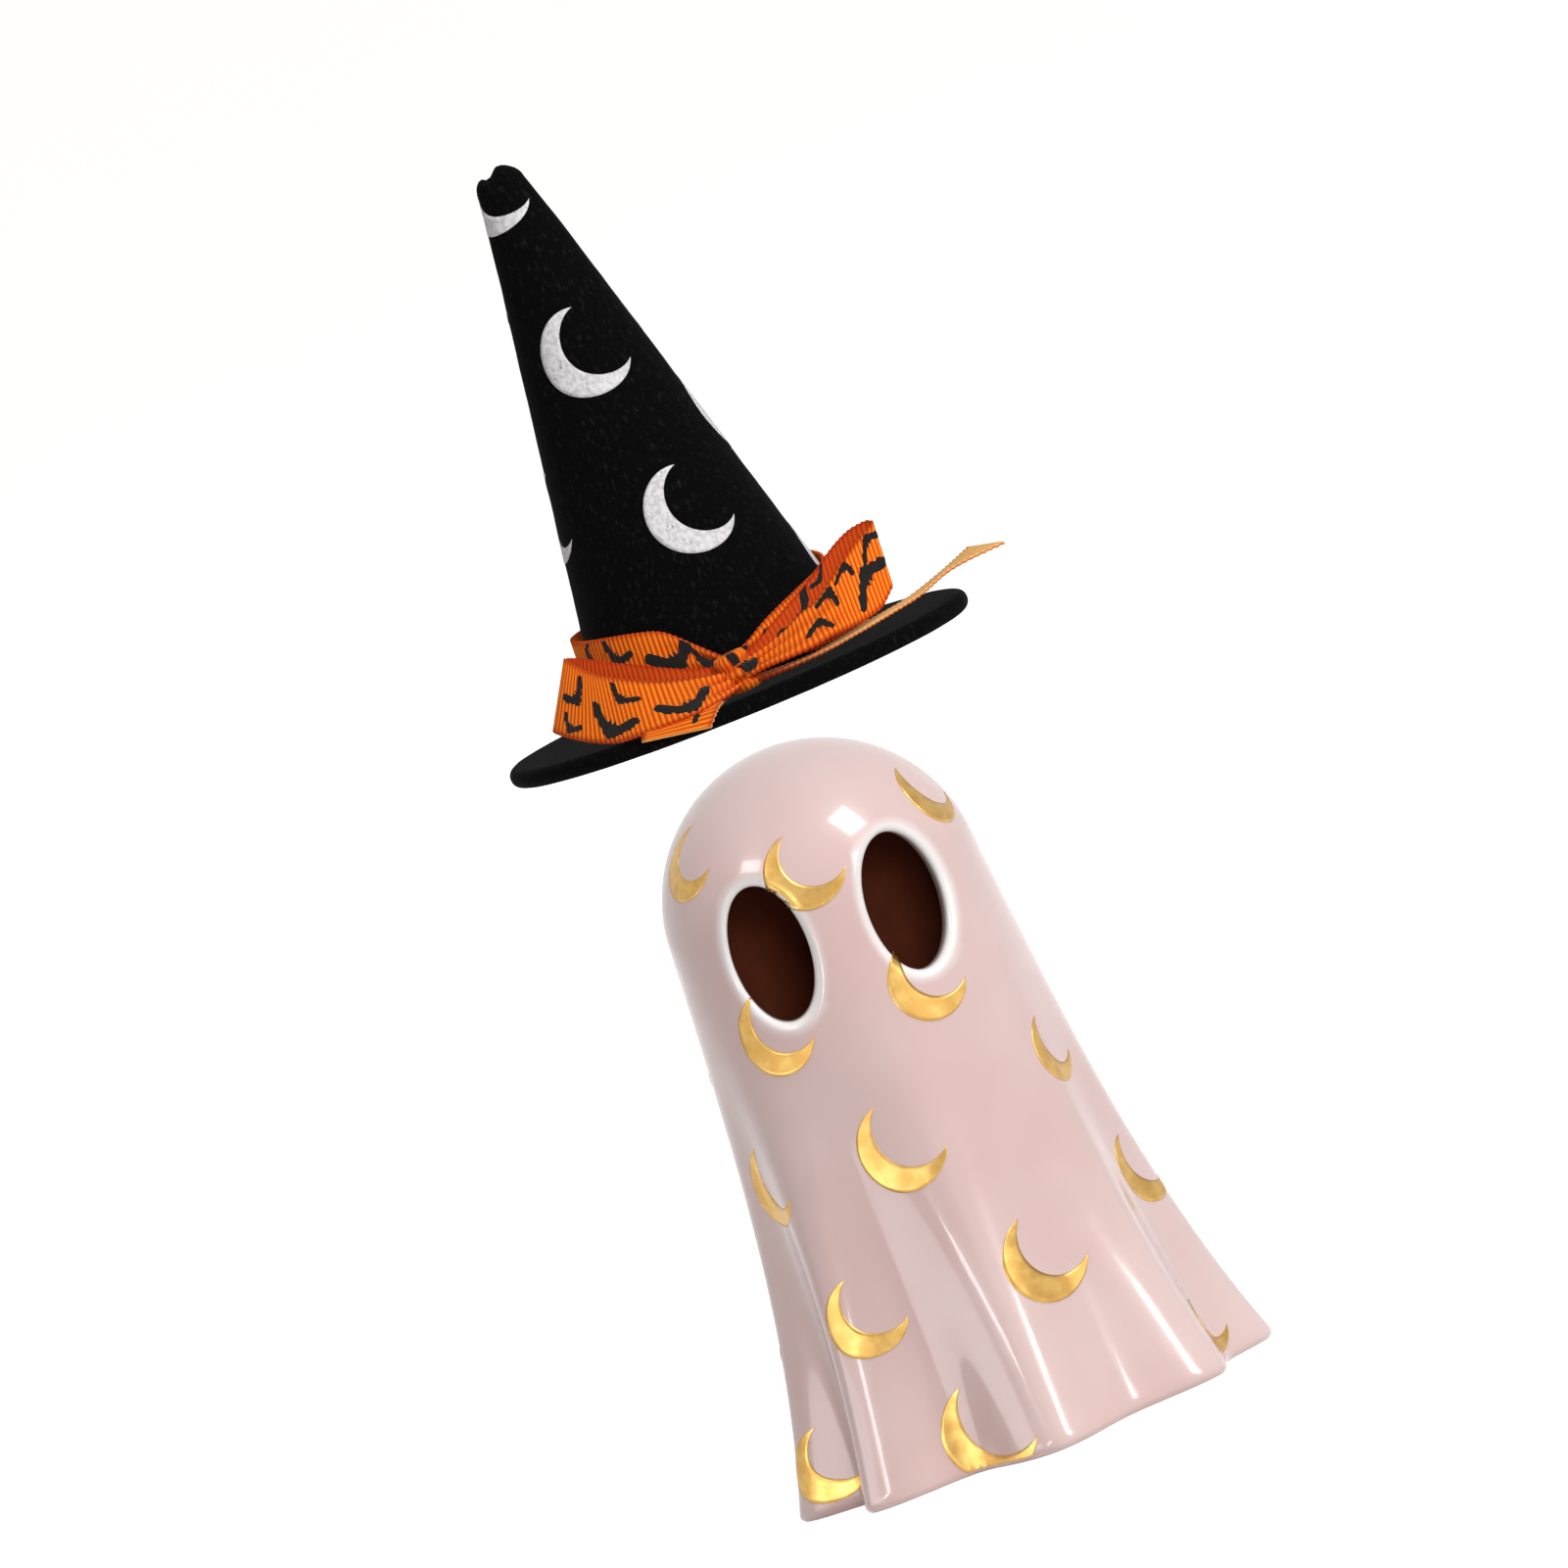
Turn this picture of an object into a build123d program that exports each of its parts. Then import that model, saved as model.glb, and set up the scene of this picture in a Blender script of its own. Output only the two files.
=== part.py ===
from build123d import *
import math
import os

# Largest share of a thickness that a rounded edge may take
ROUND_LIMIT = 0.45

# Ghost shell: one hollow casting, open at the foot, standing on z = 0 with its face towards -Y
GHOST_HEIGHT = 95.0
HEAD_RADIUS = 21.0
SIDE_DRAFT = 4.3
HEM_FLARE = 6.5
FLARE_POWER = 3.2
WALL = 3.0

# Folds of the skirt, from the front ridge round to the right, back and left.
# Each row: angle of the ridge from the front in degrees, how far the ridge stays inside the hem radius,
# and how deep the valley after it is at the hem.
FOLDS = [
    (4.0, 1.5, 4.6),
    (51.0, 1.0, 4.2),
    (87.0, 0.0, 6.0),
    (130.0, 1.0, 7.0),
    (179.0, 0.6, 6.4),
    (228.0, 1.2, 7.0),
    (270.0, 0.0, 6.6),
    (308.0, 2.6, 8.0),
]
FOLD_POWER = 1.8
RIDGE_SHARPNESS = 1.7
POINTS_PER_FOLD = 4
SKIRT_SECTIONS = 9
DOME_SECTIONS = 7
DOME_TOP_ANGLE = 87.0

# Eye holes through the front wall
EYE_WIDTH = 9.9
EYE_HEIGHT = 18.0
EYE_DROP = 2.3
EYE_LEFT_X = -8.9
EYE_RIGHT_X = 9.6
EYE_LEAN = 2.9
EYE_LEFT_TURN = 0.0
EYE_RIGHT_TURN = 16.0
EYE_RIM_ROUND = 1.0

# Felt hat: brim and leaning crown
BRIM_RADIUS = 31.7
BRIM_THICKNESS = 2.5
BRIM_EDGE_ROUND = 1.1
HAT_BORE = 33.4
CROWN_FELT = 1.5
CROWN_HEIGHT = 72.9
CROWN_TOP_RADIUS = 2.7
CROWN_LEAN = 3.2
TIP_ROUND = 2.2
TIP_FELT = 7.0
TIP_NOTCH_RADIUS = 0.7
TIP_NOTCH_SHIFT = -0.6

# How the hat meets the head, and how far it is lifted off it
SEAT_CLEARANCE = 0.3
HAT_LIFT = 15.0

# Ribbon: band round the foot of the crown
RIBBON_WIDTH = 10.0
RIBBON_THICKNESS = 0.5
RIBBON_CLEARANCE = 0.1
BAND_HEIGHT = 6.9
BAND_TILT = 17.0
BAND_ROLL = 4.0

# Ribbon: knot at the front of the band
KNOT_WIDTH = 5.2
KNOT_DEPTH = 6.2
KNOT_HEIGHT = 5.0
KNOT_ROUND = 1.9
KNOT_X = 0.6

# Ribbon: loops of the bow, outlines in plan from the knot as (sideways, forwards)
LEFT_LOOP_OUTLINE = [
    (-1.5, 2.0),
    (-7.5, 5.2),
    (-13.5, 4.2),
    (-19.5, -1.8),
    (-24.3, -8.3),
    (-21.8, -7.6),
    (-14.5, -0.6),
    (-7.5, 1.4),
    (-1.5, -0.4),
]
LEFT_LOOP_RISE = 7.0
LEFT_LOOP_SLANT = (0.30, 0.40, 0.866)
LEFT_LOOP_PINCH = 3.6
RIGHT_LOOP_OUTLINE = [
    (1.5, 0.4),
    (8.0, 1.6),
    (15.0, -0.6),
    (20.2, -5.2),
    (21.6, -9.0),
    (18.8, -8.6),
    (13.0, -4.2),
    (7.0, -1.8),
    (1.5, -2.0),
]
RIGHT_LOOP_RISE = 2.0
RIGHT_LOOP_SLANT = (0.22, 0.15, 0.964)
RIGHT_LOOP_PINCH = 3.4
LOOP_FLOOR = 1.4
PINCH_RUN = 18.0
RING_POINTS = 24

# Ribbon: loose ends
TAIL_GATHER = 3.0
LEFT_TAIL_ANGLE = 16.0
LEFT_TAIL_START = 21.5
LEFT_TAIL_FAN = 5.0
LEFT_TAIL_OVERHANG = 3.3
LEFT_TAIL_DROOP = 1.6
RIGHT_TAIL_REACH = 39.0
RIGHT_TAIL_TIP_FORWARD = 12.0
RIGHT_TAIL_TIP_HEIGHT = 4.9
RIGHT_TAIL_LIES = 15.0
RIGHT_TAIL_FAN = 22.0


# Ghost shell

head_centre_z = GHOST_HEIGHT - HEAD_RADIUS
draft = math.radians(SIDE_DRAFT)
shoulder_z = head_centre_z + HEAD_RADIUS * math.sin(draft)
shoulder_radius = HEAD_RADIUS * math.cos(draft)
eye_centre_z = head_centre_z - EYE_DROP


def fold_angles():
    # Angles round the skirt, in degrees from the front, with the inset and valley share at each
    stations = []
    for index, (angle, inset, valley) in enumerate(FOLDS):
        next_angle, next_inset, _ = FOLDS[(index + 1) % len(FOLDS)]
        span = (next_angle - angle) % 360.0
        for step in range(POINTS_PER_FOLD):
            share = step / POINTS_PER_FOLD
            blend = share * share * (3.0 - 2.0 * share)
            drop = inset + (next_inset - inset) * blend
            drop += valley * math.sin(math.pi * share) ** RIDGE_SHARPNESS
            stations.append((math.radians(angle + span * share), drop))
    return stations


def ring_point(angle, radius, z):
    return Vector(radius * math.sin(angle), -radius * math.cos(angle), z)


def skirt_wire(z, inward):
    # Closed line round the skirt at height z, moved inward by the wall where it is the hollow
    fall = 1.0 - z / shoulder_z
    ridge = shoulder_radius + (shoulder_z - z) * math.tan(draft) + HEM_FLARE * fall ** FLARE_POWER
    points = []
    for angle, drop in fold_angles():
        points.append(ring_point(angle, ridge - drop * fall ** FOLD_POWER - inward, z))
    return Wire([Edge.make_spline(points, periodic=True)])


def dome_wire(angle, inward):
    # Closed line round the head at an angle above its centre
    radius = HEAD_RADIUS - inward
    z = head_centre_z + radius * math.sin(angle)
    points = [ring_point(turn, radius * math.cos(angle), z) for turn, _ in fold_angles()]
    return Wire([Edge.make_spline(points, periodic=True)])


def ghost_form(inward):
    wires = []
    for index in range(SKIRT_SECTIONS):
        wires.append(skirt_wire(shoulder_z * index / SKIRT_SECTIONS, inward))
    top_angle = math.radians(DOME_TOP_ANGLE)
    for index in range(DOME_SECTIONS):
        share = index / (DOME_SECTIONS - 1)
        wires.append(dome_wire(draft + (top_angle - draft) * share, inward))
    return Solid.make_loft(wires)


def eye_cutter(x, turn):
    # Elliptical bar along the line of sight of one eye, from in front of the face to inside the head
    y = -math.sqrt(HEAD_RADIUS ** 2 - x ** 2)
    angle = math.radians(turn)
    inward = Vector(-math.sin(angle), math.cos(angle), 0.0)
    across = Vector(math.cos(angle), math.sin(angle), 0.0)
    front = Vector(x, y, eye_centre_z) - inward * EYE_HEIGHT
    outline = Plane(front, x_dir=across, z_dir=-inward) * Rot(0.0, 0.0, -EYE_LEAN)
    outline = outline * Ellipse(EYE_WIDTH / 2, EYE_HEIGHT / 2)
    return extrude(outline, -EYE_HEIGHT - 3 * WALL)


def eye_rims(shell):
    # Edges where the eye holes come out through the front of the face
    rims = []
    for edge in shell.edges():
        middle = edge.position_at(0.5)
        at_eye = abs(middle.Z - eye_centre_z) < EYE_HEIGHT
        outside = math.hypot(middle.X, middle.Y) > HEAD_RADIUS - WALL / 2
        if at_eye and outside and edge.length > EYE_RIM_ROUND and edge.bounding_box().max.Z < GHOST_HEIGHT - WALL:
            rims.append(edge)
    return rims


def make_ghost_shell():
    body = ghost_form(0.0)
    hollow = ghost_form(WALL)
    shell = body - hollow
    shell = shell - eye_cutter(EYE_LEFT_X, EYE_LEFT_TURN)
    shell = shell - eye_cutter(EYE_RIGHT_X, EYE_RIGHT_TURN)
    return fillet(eye_rims(shell), min(EYE_RIM_ROUND, ROUND_LIMIT * WALL))


# Felt hat, worked out from the middle of the underside of its brim

bore_radius = HAT_BORE / 2
seat_radius = HEAD_RADIUS + SEAT_CLEARANCE
seat_z = head_centre_z + math.sqrt(seat_radius ** 2 - bore_radius ** 2)
hat_z = seat_z + HAT_LIFT
crown_radius = bore_radius + CROWN_FELT
crown_slope = (crown_radius - CROWN_TOP_RADIUS) / CROWN_HEIGHT
crown_lean = math.tan(math.radians(CROWN_LEAN))


def crown_form(outward, low, high):
    # Leaning cone between two heights above the brim, moved outward from the face of the crown
    rings = []
    for height in (low, high):
        radius = crown_radius - crown_slope * height + outward
        centre = Vector(-crown_lean * height, 0.0, BRIM_THICKNESS + height)
        rings.append(Plane(centre) * Circle(radius))
    return loft(rings, ruled=True)


def make_hat_brim():
    brim = Pos(0.0, 0.0, BRIM_THICKNESS / 2) * Cylinder(BRIM_RADIUS, BRIM_THICKNESS)
    edge_round = min(BRIM_EDGE_ROUND, ROUND_LIMIT * BRIM_THICKNESS)
    brim = fillet(brim.edges().filter_by(GeomType.CIRCLE), edge_round)
    return brim - Pos(0.0, 0.0, BRIM_THICKNESS / 2) * Cylinder(bore_radius, 2 * BRIM_THICKNESS)


def make_hat_cone():
    crown = crown_form(0.0, 0.0, CROWN_HEIGHT)
    top_edge = crown.edges().sort_by(Axis.Z)[-1]
    crown = fillet(top_edge, min(TIP_ROUND, 2 * ROUND_LIMIT * CROWN_TOP_RADIUS))
    crown = crown - crown_form(-CROWN_FELT, 0.0, CROWN_HEIGHT - TIP_FELT)
    notch_x = -crown_lean * CROWN_HEIGHT + TIP_NOTCH_SHIFT
    notch = Rot(90.0, 0.0, 0.0) * Cylinder(TIP_NOTCH_RADIUS, 4 * CROWN_TOP_RADIUS)
    return crown - Pos(notch_x, 0.0, BRIM_THICKNESS + CROWN_HEIGHT) * notch


# Ribbon

brim_top = BRIM_THICKNESS
ribbon_floor = brim_top + RIBBON_CLEARANCE
band_reach = crown_radius + RIBBON_CLEARANCE + RIBBON_THICKNESS
knot_y = -(band_reach + KNOT_DEPTH / 2)
knot_z = ribbon_floor + KNOT_HEIGHT / 2


def make_ribbon_band():
    top = 4 * RIBBON_WIDTH
    sleeve = crown_form(RIBBON_CLEARANCE + RIBBON_THICKNESS, 0.0, top)
    sleeve = sleeve - crown_form(RIBBON_CLEARANCE, 0.0, top)
    width = 4 * crown_radius
    slab = Pos(0.0, 0.0, brim_top + BAND_HEIGHT) * Rot(BAND_TILT, BAND_ROLL, 0.0)
    slab = slab * Box(width, width, RIBBON_WIDTH)
    above = Pos(0.0, 0.0, ribbon_floor + top / 2) * Box(width, width, top)
    return sleeve & slab & above


def make_bow_knot():
    block = Pos(KNOT_X, knot_y, knot_z) * Box(KNOT_WIDTH, KNOT_DEPTH, KNOT_HEIGHT)
    smallest = min(KNOT_WIDTH, KNOT_DEPTH, KNOT_HEIGHT)
    return fillet(block.edges(), min(KNOT_ROUND, ROUND_LIMIT * smallest))


def ribbon_ring(outline, side):
    # Ring of ribbon in plan: the outline and a line inside it by the thickness of the ribbon
    points = [Vector(across, -forward, 0.0) for across, forward in outline]
    outer = Edge.make_spline(points, periodic=True)
    inner_points = []
    for index in range(RING_POINTS):
        share = index / RING_POINTS
        inward = Vector(0.0, 0.0, side).cross(outer % share)
        inner_points.append(outer @ share + inward * RIBBON_THICKNESS)
    inner = Edge.make_spline(inner_points, periodic=True)
    return Face(Wire([outer]), [Wire([inner])])


def ribbon_loop(outline, slant, rise, pinch, knot):
    # Closed loop of ribbon: a ring in plan, drawn up along its slant and gathered towards the knot
    side = math.copysign(1.0, outline[1][0])
    ring = ribbon_ring(outline, side)
    band = extrude(ring, amount=RIBBON_WIDTH, dir=Vector(*slant).normalized())
    band = Rot(0.0, -side * rise, 0.0) * band
    band = Pos(KNOT_X, knot_y, brim_top + LOOP_FLOOR) * band
    run = side * PINCH_RUN
    tall = RIBBON_WIDTH + pinch
    profile = Polyline((0.0, 0.0), (0.0, pinch), (run, tall), (2 * run, tall), (2 * run, 0.0), close=True)
    gather = extrude(Plane.XZ * make_face(profile), 2 * PINCH_RUN, both=True)
    gather = Pos(KNOT_X, 0.0, brim_top + LOOP_FLOOR) * gather
    return (band & gather) - knot


def ribbon_strip(start, direction, profile, fan_run):
    # Ribbon end: a line of (run, height) points from a start in plan, with thickness above it,
    # gathered where it starts and fanned out to its full width after a run
    along = Vector(direction[0], direction[1], 0.0).normalized()
    across = along.cross(Vector(0.0, 0.0, 1.0))
    origin = Vector(start[0], start[1], ribbon_floor)
    upper = [(run, height + RIBBON_THICKNESS) for run, height in reversed(profile)]
    side_view = make_face(Polyline(*profile, *upper, close=True))
    half = RIBBON_WIDTH / 2
    strip = extrude(Plane(origin, x_dir=along, z_dir=across) * side_view, half, both=True)
    length = profile[-1][0]
    gathered = TAIL_GATHER / 2
    plan = Polyline(
        (0.0, -gathered),
        (fan_run, -half),
        (length, -half),
        (length, half),
        (fan_run, half),
        (0.0, gathered),
        close=True,
    )
    fan = extrude(Plane(origin, x_dir=along, z_dir=(0, 0, 1)) * make_face(plan), length, both=True)
    return strip & fan


def make_bow_tail_left(knot):
    angle = math.radians(LEFT_TAIL_ANGLE)
    direction = (-math.sin(angle), -math.cos(angle))
    start = (direction[0] * LEFT_TAIL_START, direction[1] * LEFT_TAIL_START)
    edge = BRIM_RADIUS - BRIM_EDGE_ROUND - LEFT_TAIL_START
    end = BRIM_RADIUS + LEFT_TAIL_OVERHANG - LEFT_TAIL_START
    profile = [(0.0, 0.0), (edge, 0.0), ((edge + end) / 2, -LEFT_TAIL_DROOP / 3), (end, -LEFT_TAIL_DROOP)]
    return ribbon_strip(start, direction, profile, LEFT_TAIL_FAN) - knot


def make_bow_tail_right(knot):
    start = (KNOT_X, knot_y)
    direction = (RIGHT_TAIL_REACH - start[0], -RIGHT_TAIL_TIP_FORWARD - start[1])
    length = math.hypot(*direction)
    rising = (length - RIGHT_TAIL_LIES) / 2
    profile = [
        (0.0, 0.0),
        (RIGHT_TAIL_LIES, 0.0),
        (RIGHT_TAIL_LIES + rising, RIGHT_TAIL_TIP_HEIGHT / 3),
        (length, RIGHT_TAIL_TIP_HEIGHT),
    ]
    return ribbon_strip(start, direction, profile, RIGHT_TAIL_FAN) - knot


# Assembly: the hat is shown lifted off the head

def make_parts():
    knot = make_bow_knot()
    hat = {
        "hat_brim": make_hat_brim(),
        "hat_cone": make_hat_cone(),
        "ribbon_band": make_ribbon_band(),
        "bow_knot": knot,
        "bow_loop_left": ribbon_loop(
            LEFT_LOOP_OUTLINE, LEFT_LOOP_SLANT, LEFT_LOOP_RISE, LEFT_LOOP_PINCH, knot
        ),
        "bow_loop_right": ribbon_loop(
            RIGHT_LOOP_OUTLINE, RIGHT_LOOP_SLANT, RIGHT_LOOP_RISE, RIGHT_LOOP_PINCH, knot
        ),
        "bow_tail_left": make_bow_tail_left(knot),
        "bow_tail_right": make_bow_tail_right(knot),
    }
    parts = {"ghost_shell": make_ghost_shell()}
    for name, shape in hat.items():
        parts[name] = Pos(0.0, 0.0, hat_z) * shape
    return parts


os.makedirs("parts", exist_ok=True)
for name, shape in make_parts().items():
    export_step(shape, "parts/" + name + ".step")
print("hat seated at z", round(seat_z, 3), "shown at z", round(hat_z, 3))
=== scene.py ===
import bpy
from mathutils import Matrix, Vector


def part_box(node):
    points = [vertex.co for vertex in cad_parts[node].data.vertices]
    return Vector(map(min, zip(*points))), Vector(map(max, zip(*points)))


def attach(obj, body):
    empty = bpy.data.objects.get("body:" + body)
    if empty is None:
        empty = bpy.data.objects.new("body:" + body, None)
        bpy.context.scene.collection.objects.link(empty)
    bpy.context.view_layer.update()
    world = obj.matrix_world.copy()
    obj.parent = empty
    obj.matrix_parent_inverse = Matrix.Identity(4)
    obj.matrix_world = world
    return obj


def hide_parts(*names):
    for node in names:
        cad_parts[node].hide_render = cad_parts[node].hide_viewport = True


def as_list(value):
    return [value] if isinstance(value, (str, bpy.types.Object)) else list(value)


bl_info = {
    "name": "Ceramic Ghost with Felt Hat",
    "version": (1, 0, 0),
    "blender": (4, 5, 0),
    "location": "View3D > Sidebar > Ghost",
    "description": "Glazed ghost with gold crescents, a felt witch hat with a ribbon bow, and a plain stage",
    "category": "Object",
}

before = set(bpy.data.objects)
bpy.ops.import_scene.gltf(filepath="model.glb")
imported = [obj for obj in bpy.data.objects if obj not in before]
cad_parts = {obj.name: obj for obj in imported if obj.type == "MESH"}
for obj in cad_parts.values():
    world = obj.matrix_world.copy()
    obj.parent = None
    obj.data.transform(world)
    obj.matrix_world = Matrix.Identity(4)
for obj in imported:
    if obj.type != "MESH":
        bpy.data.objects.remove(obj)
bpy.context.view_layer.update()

import math
from bisect import bisect_right

import bmesh
import bpy
from bpy.props import FloatProperty, FloatVectorProperty, PointerProperty
from bpy.types import Operator, Panel, PropertyGroup
from mathutils import Matrix, Vector, noise

MM = 0.001

# Places read from the frame, in metres
GHOST_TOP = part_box("ghost_shell")[1].z
BRIM_LOW, BRIM_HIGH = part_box("hat_brim")
CONE_LOW, CONE_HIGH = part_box("hat_cone")

# Folds of the skirt from the front ridge round to the right, back and left:
# ridge angle from the front in degrees, how far the ridge stays inside the hem line in mm,
# and how deep the valley after it is at the hem in mm
FOLDS = [
    (4.0, 1.5, 4.6),
    (51.0, 1.0, 4.2),
    (87.0, 0.0, 6.0),
    (130.0, 1.0, 7.0),
    (179.0, 0.6, 6.4),
    (228.0, 1.2, 7.0),
    (270.0, 0.0, 6.6),
    (308.0, 2.6, 8.0),
]
# Powers: how low on the sides the flare and the folds set in, and how softly a ridge rounds over
FLARE_POWER = 3.2
FOLD_POWER = 1.8
RIDGE_POWER = 1.7

# Mesh steps
SECTORS = 12
SHELL_COLUMNS = 300
SKIRT_ROWS = 72
DOME_ROWS = 30
HEM_STEPS = 5
RIM_STEPS = 6
CONE_COLUMNS = 144
CONE_ROWS = 80
TIP_ROWS = 8
BRIM_COLUMNS = 180
BRIM_RINGS = 10
CRESCENT_STEPS = (44, 6)
STEPS_PER_RIB = 6
RIBBON_ROWS = 12
BAT_STEPS = (48, 12)

# Eye holes: sideways place in mm, and how far the cut is turned in degrees
EYES = [(-8.95, 0.0), (9.75, 16.0)]
# Part of the rim's reach that is taken out of the grid, and how far round that block the grid is drawn
EYE_BLOCK = 0.82
EYE_BLEND = 1.7
# White of the eye rims: where it starts to fade and over how far, in shares of the rim's rounding
RIM_WHITE = 0.4
RIM_FADE = 1.1
# How fast the pale glaze of a ridge gives way towards the deepest valley
RIDGE_PALE = 1.6
# How far the bare clay climbs from the foot, as a share of the hem's rounding
FOOT_BARE = 0.25

# Gold crescents on the glaze: angle from the front in degrees, height in mm and share of the full size
GOLD_CRESCENTS = [
    (-58, 86, 0.88), (-3, 80.5, 0.9), (67, 82.8, 0.85), (125, 84, 0.9), (180, 82, 0.92), (-118, 85, 0.88),
    (-35, 62, 0.94), (23, 61.5, 0.92), (106, 61, 0.9), (156, 62, 0.95), (206, 60, 0.92), (-103, 60.5, 0.94),
    (-65, 43, 0.92), (-7.5, 43, 1.0), (62, 46.4, 0.8), (120, 44, 0.92), (176, 45, 1.0), (232, 43, 0.95),
    (-39.5, 24, 0.9), (22, 23, 1.0), (80, 27.2, 0.85), (138, 24, 0.95), (196, 25, 0.9), (-101, 24, 0.94),
    (-79, 6.6, 0.84), (-15.6, 4.9, 1.1), (67, 5.6, 0.68), (110, 6.4, 0.92), (165, 6.4, 0.96), (222, 6.7, 0.9),
]
# Silver crescents on the crown: angle from the front in degrees and height above the brim in mm
SILVER_CRESCENTS = [
    (2.5, 47), (18, 23.6), (-51, 70.5), (-85, 28), (100, 10.5),
    (105, 33.5), (150, 21), (-140, 37), (-150, 12), (135, 49), (-132, 58),
]
# Crescent outlines as shares of their radius: direction of the thick side in degrees,
# half angle between the horns, and thickness in the middle
GOLD_OUTLINE = (221.8, 119.8, 0.64)
SILVER_OUTLINE = (204.0, 126.0, 0.61)
# Prints in mm: their thickness, how far they sink into the surface, and their least gap to an eye hole
# and to the foot of the crown
GOLD_THICKNESS = 0.07
SILVER_THICKNESS = 0.08
INK_THICKNESS = 0.07
PRINT_SINK = 0.01
EYE_GAP = 0.12
CROWN_FOOT_GAP = 0.5
# Where the gold ends above the foot, as a share of the hem's rounding
HEM_TRIM = 0.7

# Pinched tip in mm: place and width of the groove, drop of the left lobe, and where both fade out
NOTCH_X = -0.7
NOTCH_WIDTH = 0.85
NOTCH_DROP = 0.35
NOTCH_REACH = 5.0
NOTCH_FADE = 3.5
# How far the tip bends beyond the steady lean in mm, and the share of the height where that starts
TIP_BEND = 0.35
TIP_BEND_START = 0.8
# Lapped seam at the back: width in degrees, step in mm, and how far below the tip it is at its full step
LAP_WIDTH = 6.0
LAP_STEP = 0.5
LAP_FADE = 12.0
# Size of the felt's lumps in mm, and how much of their height the pressed brim keeps
CROWN_LUMPS = 5.0
BRIM_LUMPS = 6.0
BRIM_LUMP_SHARE = 0.6
# How far from the joint of crown and brim the felt stays even, in mm
FELT_EVEN = 0.5
# Rounding at the bore as a share of the brim's outer rounding
BORE_ROUND = 0.35
# Upward share of the direction in which the crown's felt faces
CROWN_SLANT = 0.2

# Ribbon lines: upper and lower edge at each station, as (sideways, forwards, height above the brim) in mm
LEFT_LOOP = [
    ((0.2, 23.2, 3.2), (0.2, 25.2, 0.8)),
    ((-1.9, 23.6, 3.2), (-1.6, 27.4, 0.5)),
    ((-5.9, 23.4, 4.1), (-5.6, 30.8, 0.3)),
    ((-9.6, 22.4, 5.2), (-9.8, 30.4, 0.25)),
    ((-12.9, 20.4, 6.7), (-13.6, 29.0, 0.25)),
    ((-15.8, 17.2, 8.2), (-17.2, 25.6, 0.3)),
    ((-17.5, 14.2, 9.5), (-20.9, 20.6, 1.6)),
    ((-19.1, 11.2, 11.1), (-23.8, 14.4, 3.3)),
    ((-18.9, 10.2, 11.3), (-23.2, 12.8, 3.5)),
    ((-16.4, 12.3, 10.3), (-18.6, 17.0, 2.4)),
    ((-13.2, 15.0, 8.7), (-14.0, 20.4, 1.2)),
    ((-8.5, 18.6, 6.5), (-8.8, 22.8, 0.9)),
    ((-5.0, 20.6, 5.0), (-5.0, 23.4, 0.9)),
    ((-1.2, 22.0, 3.9), (-0.8, 23.0, 1.0)),
]
RIGHT_LOOP = [
    ((1.0, 22.6, 3.4), (1.2, 24.4, 1.3)),
    ((4.5, 21.2, 3.8), (4.0, 25.2, 1.9)),
    ((8.4, 20.2, 5.0), (7.2, 25.4, 2.0)),
    ((10.8, 19.2, 6.1), (10.6, 24.8, 2.1)),
    ((13.3, 18.4, 6.8), (13.6, 23.4, 2.4)),
    ((16.3, 16.6, 8.7), (16.2, 21.6, 2.4)),
    ((19.2, 14.6, 10.6), (18.8, 19.0, 2.5)),
    ((21.4, 13.3, 11.9), (21.0, 16.8, 3.0)),
    ((23.6, 12.0, 12.9), (22.9, 15.2, 4.6)),
    ((23.2, 10.9, 13.4), (22.5, 13.8, 4.9)),
    ((20.8, 10.9, 13.2), (20.0, 13.8, 4.0)),
    ((18.6, 11.5, 12.4), (17.6, 14.8, 3.3)),
    ((16.2, 12.6, 11.1), (15.4, 16.4, 2.8)),
    ((12.9, 14.4, 9.1), (12.4, 18.0, 2.3)),
    ((8.3, 17.4, 6.9), (8.3, 20.6, 2.0)),
    ((4.2, 20.0, 4.9), (4.3, 22.0, 1.8)),
    ((1.0, 21.6, 4.0), (1.2, 22.6, 1.4)),
]
LEFT_TAIL = [
    ((-3.0, 21.4, 0.25), (-0.9, 23.4, 0.25)),
    ((-7.4, 23.2, 0.2), (-2.2, 26.2, 0.2)),
    ((-12.2, 26.8, 0.2), (-2.8, 29.6, 0.2)),
    ((-13.4, 29.4, 0.2), (-3.6, 31.6, -0.2)),
    ((-13.9, 31.4, -0.4), (-5.2, 33.6, -1.75)),
]
RIGHT_TAIL = [
    ((0.8, 21.0, 1.1), (1.4, 23.8, 0.9)),
    ((5.2, 20.0, 0.7), (6.8, 24.6, 0.9)),
    ((9.6, 18.4, 0.6), (12.0, 25.4, 1.1)),
    ((14.0, 15.6, 0.9), (16.6, 24.6, 1.6)),
    ((18.6, 13.0, 1.5), (21.0, 22.4, 2.1)),
    ((24.0, 10.8, 2.1), (26.0, 20.2, 2.8)),
    ((29.3, 9.4, 3.5), (31.2, 18.4, 4.3)),
    ((34.0, 8.2, 5.1), (38.4, 16.6, 4.7)),
]
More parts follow.
